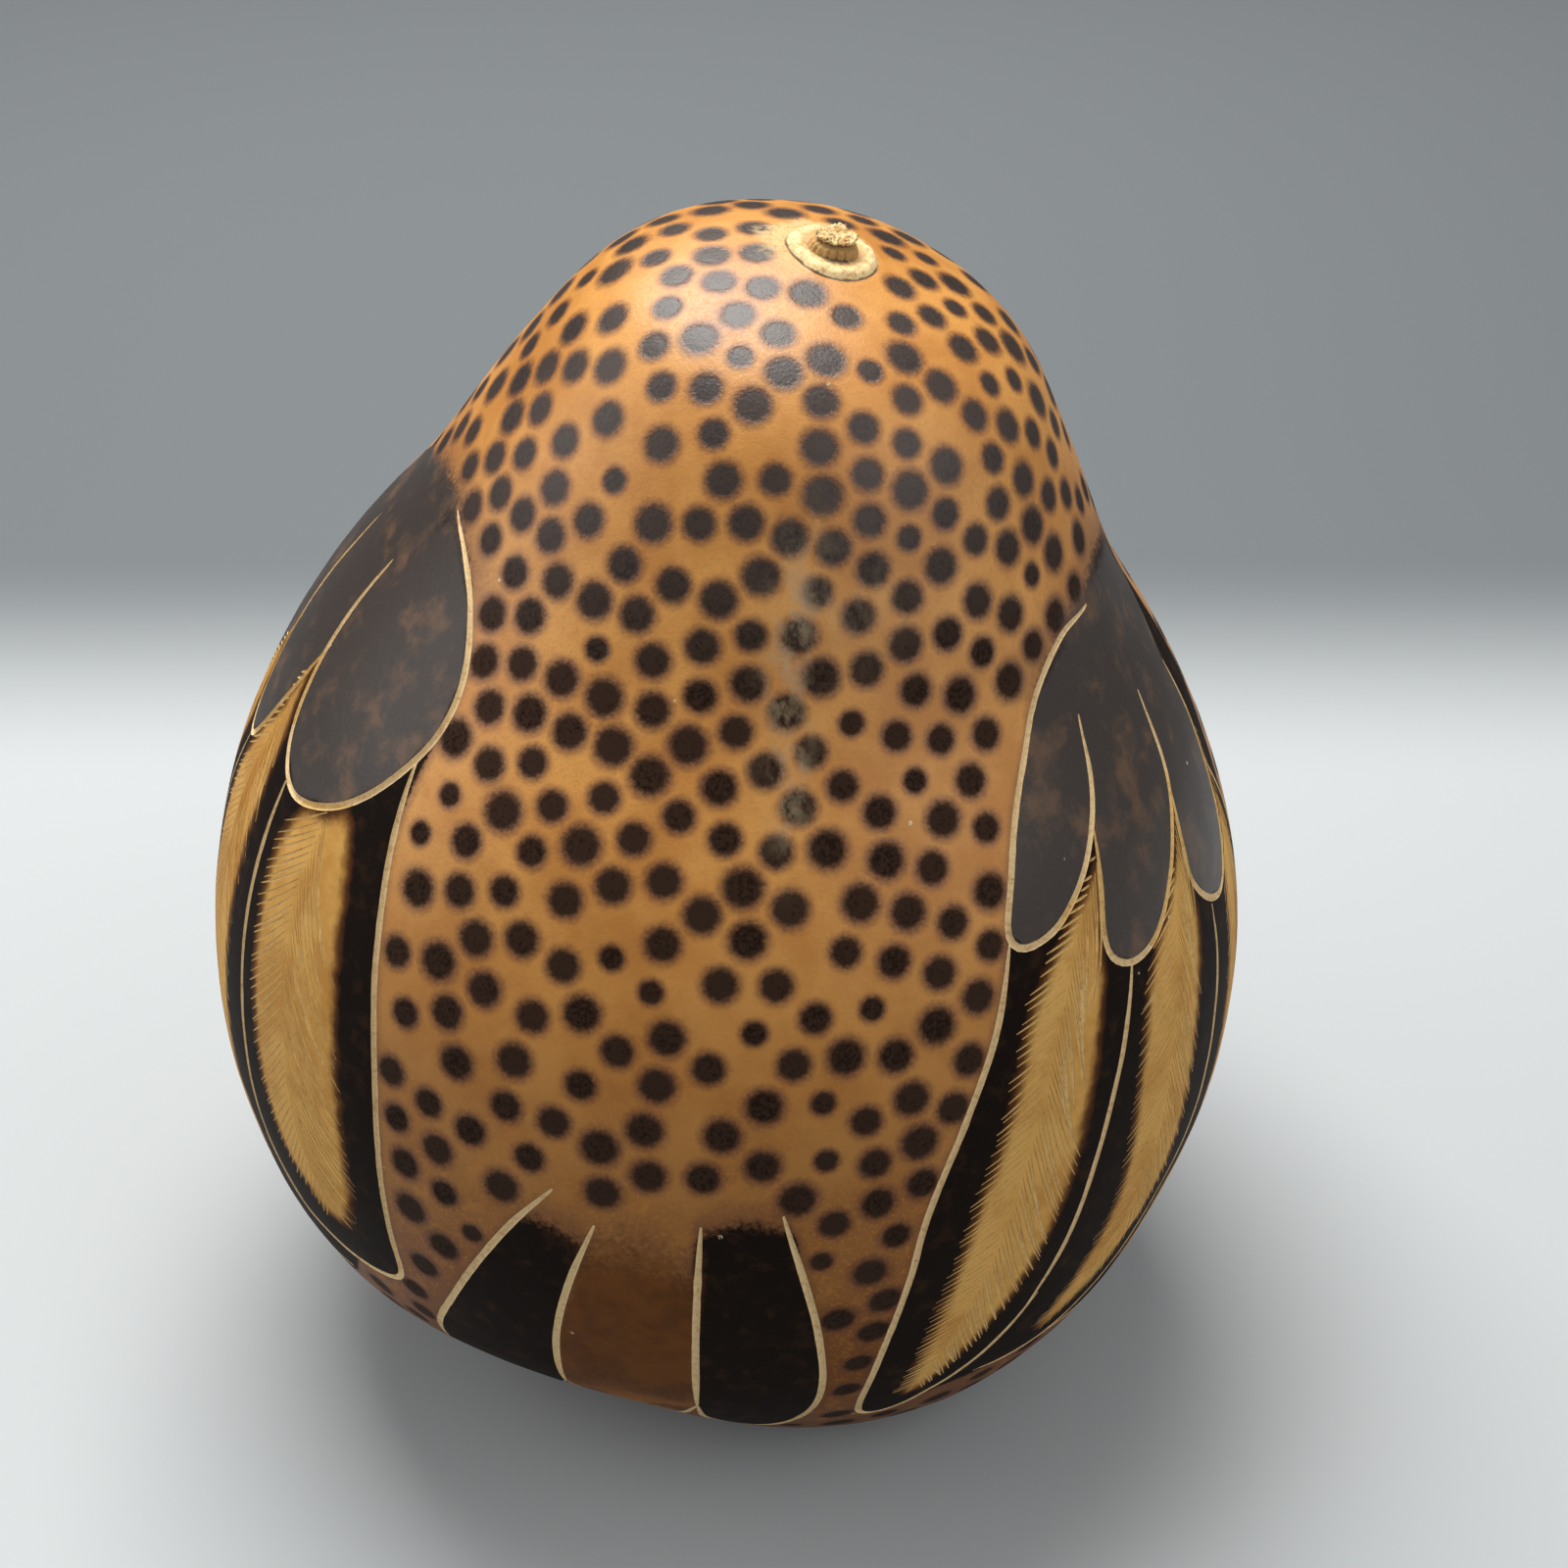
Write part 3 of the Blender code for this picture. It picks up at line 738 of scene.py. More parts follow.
def distance_inside(outline, azimuth, distance):
    """Distance in mm from an outline on the skin, positive inside it and negative outside."""
    corners = np.array(outline, float)
    if tuple(corners[0]) != tuple(corners[-1]):
        corners = np.vstack([corners, corners[:1]])
    middle = (corners[:, 0].min() + corners[:, 0].max()) / 2
    width = (corners[:, 0].max() - corners[:, 0].min()) / 2
    turn = turn_between(azimuth, middle)
    mm_per_degree = np.radians(np.maximum(outline_at(distance)[0], 5.0))
    near = ((np.abs(turn) - width) * mm_per_degree < REACH) & (distance > corners[:, 1].min() - REACH)
    near &= distance < corners[:, 1].max() + REACH
    result = np.full(len(azimuth), -REACH)
    x, y, scale = turn[near], distance[near], mm_per_degree[near]
    nearest = np.full(len(x), REACH)
    for (turn_a, along_a), (turn_b, along_b) in zip(corners[:-1], corners[1:]):
        ax, ay = (turn_a - middle - x) * scale, along_a - y
        bx, by = (turn_b - middle - x) * scale, along_b - y
        length = np.maximum((bx - ax) ** 2 + (by - ay) ** 2, 1e-9)
        part = np.clip(-(ax * (bx - ax) + ay * (by - ay)) / length, 0.0, 1.0)
        nearest = np.minimum(nearest, np.hypot(ax + part * (bx - ax), ay + part * (by - ay)))
    result[near] = np.where(inside(corners, azimuth[near], y), nearest, -nearest)
    return result


def most_inside(outlines, azimuth, distance):
    """The distance inside whichever outline a place is furthest inside."""
    return np.max([distance_inside(outline, azimuth, distance) for outline in outlines], axis=0)


def smoothed(outlines):
    """The same outlines, drawn as smooth curves."""
    return [smooth_curve(list(outline) + [outline[0]], closed=True, steps=4) for outline in outlines]


def tail_feather(name, azimuth, distance, soft):
    """The distance inside a tail feather, which may fade out towards a round, soft top."""
    within = distance_inside(smoothed([TAIL_FEATHERS[name]])[0], azimuth, distance)
    middle, top, fade = TAIL_TOPS[name]
    sideways = np.radians(turn_between(azimuth, middle)) * outline_at(distance)[0]
    below_top = (top - distance - TAIL_TOP_CURVE * sideways ** 2) / fade
    return np.minimum(within, below_top) if soft else within


def areas_at(azimuth, distance, soft=True):
    """The distance inside each kind of area, in mm, with soft or sharp tops of the wings and tail."""
    shoulder = 1 + SHOULDER_SOFTNESS * soft * ease(distance, *SHOULDER_TOP)
    tail = {name: tail_feather(name, azimuth, distance, soft) for name in TAIL_FEATHERS}
    eyes = [ring_round(azimuth_of_eye, along, PUPIL_RADIUS) for azimuth_of_eye, along in EYES]
    vanes = [smooth_curve(vane["edge"], True, 4) for vane in VANES.values()]
    return {
        "wing": most_inside(smoothed(WINGS), azimuth, distance) / shoulder,
        "vane": most_inside(vanes, azimuth, distance),
        "covert": most_inside(COVERTS, azimuth, distance) / shoulder,
        "tail": np.maximum(tail["left"], tail["right"]),
        "tail_middle": tail["middle"],
        "face": most_inside(eyes + [smooth_curve(BEAK, True, 4)], azimuth, distance),
    }


AREAS = areas_at(AZIMUTH, DISTANCE)
for kind, inside_by in AREAS.items():
    print(kind, "covers", round(100 * float((inside_by > 0).mean()), 1), "% of the vertices")

# %% [markdown]
# ## Places for the dots
#
# The carver burnt about a thousand dots with a round tip, as close as they would go without touching, and
# let them run right up to the wings. Nobody measured anything, so the rows are nowhere straight. We throw
# dots at the free skin in a seeded random order, keep each one that has room, and then let neighbours push
# each other apart a little until they sit evenly. On the narrow head the dots are closer than below.

# %% Lay out the dots
DOT_SPACING = ([60.0, 150.0, 195.0, 240.0], [6.3, 6.0, 5.5, 5.2])
DOT_RADIUS = (1.85, 2.4)
DOT_GROWTH = ([5.3, 6.4], [0.93, 1.04])
DOT_BURNS = (0.55, 1.0)
SMALL_DOT_RADIUS = 1.5
SMALL_DOTS = 0.07
DOT_MARGIN = 2.5
SCAR_MARGIN = 9.4
BASE_MARGIN = 22.0
THROWS = 26000
THROWN_GAP = 0.84
PUSHED_GAP = 1.04
PUSHES = 14
PUSH_SHARE = 0.22
ROW_COUNT = 500
draw = np.random.default_rng(29)


def dot_room(azimuth, distance):
    """How far a dot's middle is from everything that it must keep clear of, in mm."""
    areas = areas_at(azimuth, distance, soft=False)
    taken = np.max([areas[kind] for kind in ("wing", "tail", "tail_middle", "face")], axis=0)
    rings = [ring_round(*eye, EYE_RING_RADIUS) for eye in EYES]
    off_rings = np.min([np.abs(distance_inside(ring, azimuth, distance)) for ring in rings], axis=0)
    return np.min([-taken - DOT_MARGIN, off_rings - DOT_MARGIN, SKIN_LENGTH - distance - SCAR_MARGIN,
                   distance - BASE_MARGIN], axis=0)


def spacing_at(distance):
    """How far apart the dots are at a skin distance."""
    return np.interp(distance, *DOT_SPACING)


def thrown_dots():
    """Addresses that each keep most of the spacing from one another."""
    rows = np.linspace(0, SKIN_LENGTH, ROW_COUNT)
    radii = np.interp(rows, OUTLINE_DISTANCES, OUTLINE[:, 0])
    distance = np.interp(draw.random(THROWS), np.cumsum(radii) / radii.sum(), rows)
    azimuth = draw.uniform(-180, 180, THROWS)
    free = dot_room(azimuth, distance) > 0
    azimuth, distance = azimuth[free], distance[free]
    places = skin_points(azimuth, distance)
    kept = []
    for i, (place, gap) in enumerate(zip(places, THROWN_GAP * spacing_at(distance))):
        if not kept or np.linalg.norm(places[kept] - place, axis=1).min() > gap:
            kept.append(i)
    return azimuth[kept], distance[kept]


def unit(vectors):
    """The vectors at length 1."""
    return vectors / np.linalg.norm(vectors, axis=1, keepdims=True)


def pushed_apart(azimuth, distance):
    """One round in which every dot moves away from neighbours that are too near."""
    places = skin_points(azimuth, distance)
    away = places[:, None] - places[None]
    gaps = np.linalg.norm(away, axis=2)
    np.fill_diagonal(gaps, 1e9)
    crowding = np.clip(PUSHED_GAP * spacing_at(distance)[:, None] - gaps, 0.0, None)
    push = PUSH_SHARE * (away / gaps[:, :, None] * crowding[:, :, None]).sum(axis=1)
    eastward = unit(skin_points(azimuth + 0.5, distance) - places)
    upward = unit(skin_points(azimuth, distance + 0.5) - places)
    new_azimuth = azimuth + np.degrees((push * eastward).sum(axis=1) / outline_at(distance)[0])
    new_distance = distance + (push * upward).sum(axis=1)
    fits = dot_room(new_azimuth, new_distance) > 0
    return np.where(fits, new_azimuth, azimuth), np.where(fits, new_distance, distance)


DOT_AZIMUTH, DOT_DISTANCE = thrown_dots()
for _ in range(PUSHES):
    DOT_AZIMUTH, DOT_DISTANCE = pushed_apart(DOT_AZIMUTH, DOT_DISTANCE)
DOT_COUNT = len(DOT_AZIMUTH)
DOT_RADII = draw.uniform(*DOT_RADIUS, DOT_COUNT) * np.interp(spacing_at(DOT_DISTANCE), *DOT_GROWTH)
DOT_RADII[draw.random(DOT_COUNT) < SMALL_DOTS] = SMALL_DOT_RADIUS
DOT_BURN = draw.uniform(*DOT_BURNS, DOT_COUNT)
print(DOT_COUNT, "dots")

# %% [markdown]
# ## Let the skin wear its marks
#
# A material can't know where a dot is, so the mesh carries the numbers. For each face we look up its two
# nearest dots and give every corner the way from the dot's middle to that corner, measured in dot radii.
# Over the face this blends exactly, and where its length is 1 the dot ends: a true circle of any
# sharpness on a mesh that is far too coarse to draw one. The distances inside the areas go on the
# vertices, and so do the soft marks of age: the cork round the scar and a few pale rubbed streaks.
#
# The same cell gives the skin the slight unevenness of something grown.

# %% Put the numbers on the mesh
RUBBED = [(1.0, 192.0, 1.6, 8.0, 0.75), (4.0, 176.0, 1.4, 6.0, 0.7), (9.0, 197.0, 5.0, 6.0, 0.22),
          (150.0, 120.0, 3.0, 12.0, 0.8), (-150.0, 80.0, 2.5, 9.0, 0.7)]
UNEVEN = [(0.16, 15.0, 3.0), (0.05, 5.0, 9.0)]
EVEN_BELOW = (20.0, 34.0)
SHARP_ANGLE = 38.0


def vertex_numbers(mesh, name, values):
    """Keep one number for each vertex."""
    mesh.attributes.new(name, 'FLOAT', 'POINT').data.foreach_set("value", np.asarray(values, np.float32))


def corner_vectors(mesh, name, values):
    """Keep one vector for each face corner."""
    flat = np.ascontiguousarray(values, np.float32).ravel()
    mesh.attributes.new(name, 'FLOAT_VECTOR', 'CORNER').data.foreach_set("vector", flat)


def nearest_dots(mesh):
    """For each face corner, the ways from its face's two nearest dots, and how burnt the nearest is."""
    tree = KDTree(DOT_COUNT)
    centres = skin_points(DOT_AZIMUTH, DOT_DISTANCE)
    for i, centre in enumerate(centres):
        tree.insert(centre, i)
    tree.balance()
    count = len(mesh.polygons)
    middles = np.empty(count * 3, np.float32)
    mesh.polygons.foreach_get("center", middles)
    nearest = np.array([[found[1] for found in tree.find_n(middle / MM, 2)]
                        for middle in middles.reshape(-1, 3).astype(float)])
    sizes = np.empty(count, np.int32)
    mesh.polygons.foreach_get("loop_total", sizes)
    corners = np.empty(len(mesh.loops), np.int32)
    mesh.loops.foreach_get("vertex_index", corners)
    dots = np.repeat(nearest, sizes, axis=0)
    ways = (POINTS[corners][:, None] - centres[dots]) / DOT_RADII[dots][:, :, None]
    return ways[:, 0], ways[:, 1], DOT_BURN[dots[:, 0]]


def grown(points, azimuth, distance):
    """The points with a slight unevenness, but none on the flat spot."""
    outward = unit(skin_points(azimuth, distance, 1.0) - skin_points(azimuth, distance))
    amount = np.zeros(len(points))
    for height, scale, seed in UNEVEN:
        shift = Vector((seed, 0, 0))
        amount += height * np.array([noise.noise(Vector(place) / scale + shift) for place in points])
    return points + outward * (amount * ease(distance, *EVEN_BELOW))[:, None]


near_way, second_way, burn = nearest_dots(skin.data)
corner_vectors(skin.data, "dot_near", near_way)
corner_vectors(skin.data, "dot_second", second_way)
skin.data.attributes.new("dot_burn", 'FLOAT', 'CORNER').data.foreach_set("value", burn.astype(np.float32))
for kind, inside_by in AREAS.items():
    vertex_numbers(skin.data, kind, inside_by)
vertex_numbers(skin.data, "from_scar", (SKIN_LENGTH - DISTANCE) / scar_wobble(AZIMUTH))
vertex_numbers(skin.data, "scar_front", np.cos(np.radians(AZIMUTH - SCAR_FRONT)))
vertex_numbers(skin.data, "scar_spread", np.cos(np.radians(AZIMUTH - SCAR_SPREAD)))
mm_per_degree = np.radians(np.maximum(outline_at(DISTANCE)[0], 5.0))
rubbed = sum(amount * bump(turn_between(AZIMUTH, turn) * mm_per_degree, width)
             * bump(DISTANCE - along, height) for turn, along, width, height, amount in RUBBED)
vertex_numbers(skin.data, "rubbed", rubbed)
move_vertices(skin.data, grown(POINTS, AZIMUTH, DISTANCE))
select_only(skin)
bpy.ops.object.shade_smooth_by_angle(angle=math.radians(SHARP_ANGLE))
print("the skin carries", len(skin.data.attributes), "layers of numbers")

# %% [markdown]
# ## The stub of the stem
#
# When the gourd was picked, the stem snapped and left a short, pale, fibrous stub, wider than it is tall,
# with a pitted top. We wrap a second small grid: up the side, over the torn top and to its middle. The
# fibres are grooves that run up the side, and noise breaks up the top. It leans with the crown and reaches
# a little way into the skin, so no gap can show.

# %% Wrap the stub
STUB_SIDES = 120
STUB_ROWS = 56
STUB_RADIUS = 2.25
STUB_HEIGHT = 1.4
STUB_ROOT = 1.2
STUB_FLARE = 0.8
STUB_TILT = 0.1
STUB_SHARP_ANGLE = 60.0
FIBRES = 19
FINE_FIBRES = 31
TORN_BUMPS = [(0.5, 1.5, 2.0), (0.32, 0.55, 5.0), (0.2, 0.25, 8.0)]
STUB_PROFILE = [
    (0.0, -STUB_ROOT), (STUB_RADIUS + STUB_FLARE, -STUB_ROOT), (STUB_RADIUS + 0.3, 0.15),
    (STUB_RADIUS * 0.86, 0.5), (STUB_RADIUS * 0.9, 0.75), (STUB_RADIUS * 1.04, STUB_HEIGHT - 0.35),
    (STUB_RADIUS * 0.96, STUB_HEIGHT), (STUB_RADIUS * 0.5, STUB_HEIGHT - 0.15), (0.0, STUB_HEIGHT - 0.3),
]


def stub_points(turn, place):
    """Points of the stub in mm, standing upright on the origin; place runs 0 to 1 along the profile."""
    profile = np.array(STUB_PROFILE)
    along = lengths_along(profile) / lengths_along(profile)[-1]
    radius = np.interp(place, along, profile[:, 0])
    height = np.interp(place, along, profile[:, 1])
    fibres = 0.09 * np.sin(FIBRES * turn + 1.5 * np.sin(3 * turn)) + 0.06 * np.sin(FINE_FIBRES * turn + 1)
    outline = 1 + 0.07 * np.sin(2 * turn + 0.4) + 0.04 * np.sin(3 * turn + 2)
    radius = radius * outline + fibres * np.clip(radius / STUB_RADIUS, 0, 1) ** 3
    x, y = radius * np.cos(turn), radius * np.sin(turn)
    torn = np.zeros(len(turn))
    for rise, scale, seed in TORN_BUMPS:
        bumps = [noise.noise(Vector((a / scale, b / scale, seed))) for a, b in zip(x, y)]
        torn += rise * np.array(bumps)
    tilt = STUB_TILT * x
    return np.stack([x, y, height + (torn + tilt) * ease(height, 0.5, STUB_HEIGHT - 0.3)], -1)


stub, grid = flat_grid("stem_stub", STUB_SIDES, STUB_ROWS)
upright = stub_points(grid[:, 0] * 2 * math.pi, grid[:, 1])
crown = skin_points(0.0, SKIN_LENGTH)
lean = math.radians(CROWN_LEAN)
toward = math.radians(LEAN_AZIMUTH)
sideways = np.array([math.sin(toward), -math.cos(toward), 0.0])
up = np.array([0.0, 0.0, 1.0]) * math.cos(lean) + sideways * math.sin(lean)
right = sideways * math.cos(lean) - np.array([0.0, 0.0, 1.0]) * math.sin(lean)
back = np.cross(up, right)
vertex_numbers(stub.data, "stub_height", upright[:, 2])
move_vertices(stub.data, crown + upright[:, :1] * right + upright[:, 1:2] * back + upright[:, 2:] * up)
weld(WELD_REACH)
bpy.ops.object.shade_smooth_by_angle(angle=math.radians(STUB_SHARP_ANGLE))
print("the stub has", len(stub.data.polygons), "faces")

# %% [markdown]
# ## A short way to write materials
#
# A material is a net of small nodes. Placed by hand it is quick to read, but in a script every node takes
# several lines, so we first write a few helpers: one makes a node and plugs in its inputs, and the others
# are the handful of nodes that we need again and again.

# %% Helpers for nodes
class Shader:
    """A material whose nodes are made by short calls."""

    def __init__(self, name):
        self.material = bpy.data.materials.new(name)
        self.material.use_nodes = True
        self.tree = self.material.node_tree
        self.surface = self.tree.nodes["Principled BSDF"]
        self.place = self.node("ShaderNodeTexCoord").outputs["Object"]

    def node(self, kind, settings=(), **inputs):
        """Make a node, set its options and fill its inputs, which are given by index as i0, i1..."""
        made = self.tree.nodes.new(kind)
        for name, value in dict(settings).items():
            setattr(made, name, value)
        for key, value in inputs.items():
            self.fill(made.inputs[int(key[1:])], value)
        return made

    def fill(self, socket, value):
        """Link an output to a socket, or set the socket to a plain value."""
        if isinstance(value, bpy.types.NodeSocket):
            self.tree.links.new(value, socket)
        else:
            socket.default_value = value

    def math(self, operation, a, b=0.0):
        return self.node("ShaderNodeMath", {"operation": operation}, i0=a, i1=b).outputs[0]

    def add(self, a, b):
        return self.math('ADD', a, b)

    def times(self, a, b):
        return self.math('MULTIPLY', a, b)

    def number(self, name):
        """A number that the mesh carries."""
        return self.node("ShaderNodeAttribute", {"attribute_name": name}).outputs["Fac"]

    def vector(self, name):
        """A vector that the mesh carries."""
        return self.node("ShaderNodeAttribute", {"attribute_name": name}).outputs["Vector"]

    def length(self, vector):
        return self.node("ShaderNodeVectorMath", {"operation": 'LENGTH'}, i0=vector).outputs["Value"]

    def noise(self, size_mm, detail=2.0, roughness=0.5, stretch=(1.0, 1.0, 1.0)):
        """Noise from 0 to 1 whose blobs are about size_mm across; stretch squeezes it along an axis."""
        scaled = self.node("ShaderNodeVectorMath", {"operation": 'MULTIPLY'}, i0=self.place, i1=stretch)
        made = self.node("ShaderNodeTexNoise", i0=scaled.outputs[0])
        made.inputs["Scale"].default_value = 1.0 / (size_mm * MM)
        made.inputs["Detail"].default_value = detail
        made.inputs["Roughness"].default_value = roughness
        return made.outputs[0]

    def cells(self, size_mm):
        """The distance to the nearest of many scattered points, in parts of size_mm."""
        made = self.node("ShaderNodeTexVoronoi", i0=self.place)
        made.inputs["Scale"].default_value = 1.0 / (size_mm * MM)
        return made.outputs["Distance"]

    def between(self, value, low, high, at_low=0.0, at_high=1.0):
        """A smooth change from at_low to at_high while value goes from low to high."""
        return self.node("ShaderNodeMapRange", {"interpolation_type": 'SMOOTHSTEP'},
                         i0=value, i1=low, i2=high, i3=at_low, i4=at_high).outputs[0]

    def mix(self, share, first, second):
        """Blend two colours."""
        made = self.node("ShaderNodeMix", {"data_type": 'RGBA'}, i0=share)
        for socket, colour in ((made.inputs[6], first), (made.inputs[7], second)):
            self.fill(socket, colour if isinstance(colour, bpy.types.NodeSocket) else (*colour, 1.0))
        return made.outputs[2]

    def blend(self, share, first, second):
        """Blend two numbers."""
        return self.node("ShaderNodeMix", i0=share, i2=first, i3=second).outputs[0]

    def relief(self, height_mm):
        """Bump the surface by a height in mm."""
        bumped = self.node("ShaderNodeBump", i0=1.0, i1=MM)
        self.fill(bumped.inputs["Height"], height_mm)
        self.fill(self.surface.inputs["Normal"], bumped.outputs[0])

    def finish(self, colour, roughness, specular):
        """Fill the surface's main inputs."""
        self.fill(self.surface.inputs["Base Color"], colour)
        self.fill(self.surface.inputs["Roughness"], roughness)
        self.fill(self.surface.inputs["Specular IOR Level"], specular)
        return self.material


print("the helpers are ready")

# %% [markdown]
# ## The burnt skin
#
# The skin is one material because its parts run into one another. It starts with the plain dried skin:
# orange tan, with soft mottling, a fine grain and small pale nicks, and darker towards the base, which is
# painted shade where less light from above reaches. On it lie, in the order in which they were made, the
# dots with a brown halo, the black of the wings and tail, the scraped golden patches with their burnt
# borders, and the cork of the scar. A band of painted light brightens the middle tail feather low down,
# and painted shade darkens the front of the crease and the cork in front of the stub. The last layer is
# age: pale rubbed streaks that go over everything. Roughness follows the same masks, since burnt skin is
# dull and bare skin has a satin polish, which is strongest on the head, where hands touch it most.

# %% The material of the skin
TAN = (0.58, 0.265, 0.055)
TAN_DEEP = (0.44, 0.175, 0.027)
# painted shade: a dark brown that the lower skin turns to, where less light reaches
TAN_IN_PAINTED_SHADE = (0.13, 0.040, 0.004)
HALO = (0.10, 0.03, 0.011)
DOT_BLACK = (0.014, 0.006, 0.003)
DOT_FADED = (0.042, 0.023, 0.015)
WING_BLACK = (0.008, 0.0045, 0.003)
WING_BROWN = (0.024, 0.011, 0.005)
COVERT_GREY = (0.030, 0.020, 0.015)
COVERT_BROWN = (0.10, 0.052, 0.026)
TAIL_BROWN = (0.12, 0.042, 0.010)
# painted light: the brighter orange of a lit band on the middle tail feather
TAIL_PAINTED_LIGHT = (0.27, 0.10, 0.016)
VANE_TAN = (0.60, 0.335, 0.09)
VANE_DEEP = (0.46, 0.225, 0.052)
BURNT_BROWN = (0.08, 0.028, 0.008)
OUTLINE_CUT = 1
BARB_CUT = 2
CORK_PALE = (0.78, 0.60, 0.30)
CORK_TAN = (0.50, 0.29, 0.10)
CORK_BROWN = (0.16, 0.075, 0.025)
# painted shade: the dark brown used for the stub's shadow, the crease and the side under the stub's lip
PAINTED_SHADE_BROWN = (0.05, 0.024, 0.01)
DUST = (0.40, 0.30, 0.18)
NICK_PALE = (0.72, 0.60, 0.40)


def skin_material():
    """The dried skin with everything that was burnt into it."""
    s = Shader("burnt_skin")
    mottle, cloud = s.noise(13.0, 5.0, 0.6), s.noise(3.2, 4.0, 0.6)
    grain, fine = s.noise(0.5, 3.0, 0.6), s.noise(0.16, 2.0)
    fuzz = s.add(s.noise(0.75, 3.0, 0.65), -0.5)
    rise = s.node("ShaderNodeSeparateXYZ", i0=s.place).outputs[2]
    colour = s.mix(s.between(mottle, 0.36, 0.66), TAN, TAN_DEEP)
    # painted shade: the skin is darkened towards the base, where less light from above reaches
    colour = s.mix(s.between(rise, 0.12, 0.035, 0.0, 1.0), colour, TAN_IN_PAINTED_SHADE)
    colour = s.mix(s.between(cloud, 0.5, 0.72, 0.0, 0.35), colour, TAN_DEEP)
    colour = s.mix(s.between(grain, 0.5, 0.68, 0.0, 0.45), colour, TAN_DEEP)
    nick = s.times(s.between(s.cells(9.0), 0.022, 0.04, 1.0, 0.0), s.between(grain, 0.4, 0.5))

    near, second = s.length(s.vector("dot_near")), s.length(s.vector("dot_second"))
    edge = s.add(s.math('MINIMUM', near, second), s.times(s.add(fuzz, s.add(grain, -0.5)), 0.36))
    dot = s.between(edge, 0.7, 1.14, 1.0, 0.0)
    halo = s.between(edge, 0.9, 1.6, 0.8, 0.0)
    worn = s.between(s.add(grain, s.times(s.number("dot_burn"), 0.35)), 0.98, 0.72, 0.0, 0.7)
    colour = s.mix(halo, colour, HALO)
    colour = s.mix(dot, colour, s.mix(worn, DOT_BLACK, DOT_FADED))

    wing = s.add(s.math('MAXIMUM', s.math('MAXIMUM', s.number("wing"), s.number("tail")), s.number("face")),
                 s.times(fuzz, 1.1))
    burnt = s.between(wing, -0.35, 0.25)
    off_dot = s.add(1.0, s.times(dot, -1.0))
    colour = s.mix(s.times(s.between(wing, -1.6, 0.0, 0.0, 0.6), off_dot), colour, HALO)
    colour = s.mix(burnt, colour, s.mix(s.between(cloud, 0.5, 0.72), WING_BLACK, WING_BROWN))
    middle = s.add(s.number("tail_middle"), s.times(fuzz, 1.5))
    blotch = s.noise(7.0, 5.0, 0.65)
    tail_brown = s.mix(s.between(blotch, 0.38, 0.62), TAIL_BROWN, BURNT_BROWN)
    # painted light: a brighter orange band across the middle tail feather, about 24 mm up, broken by
    # blotches
    painted_light_band = s.between(s.math('ABSOLUTE', s.add(rise, -0.024)), 0.011, 0.003)
    painted_light_band = s.times(painted_light_band, s.between(blotch, 0.64, 0.42))
    tail_brown = s.mix(painted_light_band, tail_brown, TAIL_PAINTED_LIGHT)
    colour = s.mix(s.between(middle, -0.4, 1.0, 0.0, 0.9), colour, tail_brown)

    vane = s.add(s.number("vane"), s.times(s.add(cloud, -0.5), 2.2))
    golden = s.mix(s.between(mottle, 0.4, 0.6), VANE_TAN, VANE_DEEP)
    singed = s.mix(s.between(vane, 0.7, 2.7), BURNT_BROWN, golden)
    colour = s.mix(s.between(vane, -0.2, 1.0), colour, singed)
    covert = s.between(s.add(s.number("covert"), s.times(fuzz, 0.8)), -0.2, 0.5)
    soot = s.mix(s.between(blotch, 0.48, 0.7), COVERT_GREY, COVERT_BROWN)
    soot = s.mix(s.between(grain, 0.6, 0.74, 0.0, 0.45), soot, COVERT_BROWN)
    colour = s.mix(covert, colour, soot)

    from_scar, scar_front = s.number("from_scar"), s.number("scar_front")
    cork_grain = s.noise(0.9, 4.0, 0.7)
    spread = s.add(s.times(s.number("scar_spread"), 2.6), s.times(s.add(cloud, -0.5), 6.0))
    around = s.between(s.add(from_scar, s.times(spread, -1.0)), 5.0, 8.2, 0.8, 0.0)
    disc = s.between(s.add(from_scar, s.times(fuzz, 0.5)), 5.6, 6.0, 1.0, 0.0)
    cork = s.mix(s.between(cork_grain, 0.44, 0.68), CORK_PALE, CORK_TAN)
    cork = s.mix(s.between(s.add(from_scar, s.times(fuzz, 2.4)), 4.8, 3.5, 0.0, 0.85), cork, CORK_TAN)
    # painted shadow: the cork dish is darkened close round the stub, on its front side only
    stub_shadow = s.between(s.add(from_scar, s.times(fuzz, 1.8)), 4.1, 2.8)
    stub_shadow = s.times(stub_shadow, s.between(scar_front, -0.1, 0.7))
    cork = s.mix(stub_shadow, cork, PAINTED_SHADE_BROWN)
    corky = s.math('MAXIMUM', disc, s.times(around, s.between(cork_grain, 0.36, 0.6)))
    colour = s.mix(corky, colour, cork)
    # painted shade: the crease round the scar is darkened along its front side
    off_crease = s.math('ABSOLUTE', s.add(s.add(from_scar, -CREASE_RADIUS), s.times(fuzz, 0.35)))
    crease_shade = s.times(s.between(off_crease, 0.2, 0.06, 0.0, 0.85), s.between(scar_front, -0.35, 0.2))
    colour = s.mix(crease_shade, colour, PAINTED_SHADE_BROWN)

    colour = s.mix(s.times(nick, 0.8), colour, NICK_PALE)
    rubbed = s.times(s.number("rubbed"), s.between(s.noise(2.2, 4.0, 0.7, (1.0, 1.0, 0.4)), 0.36, 0.62))
    colour = s.mix(s.times(rubbed, 0.75), colour, DUST)

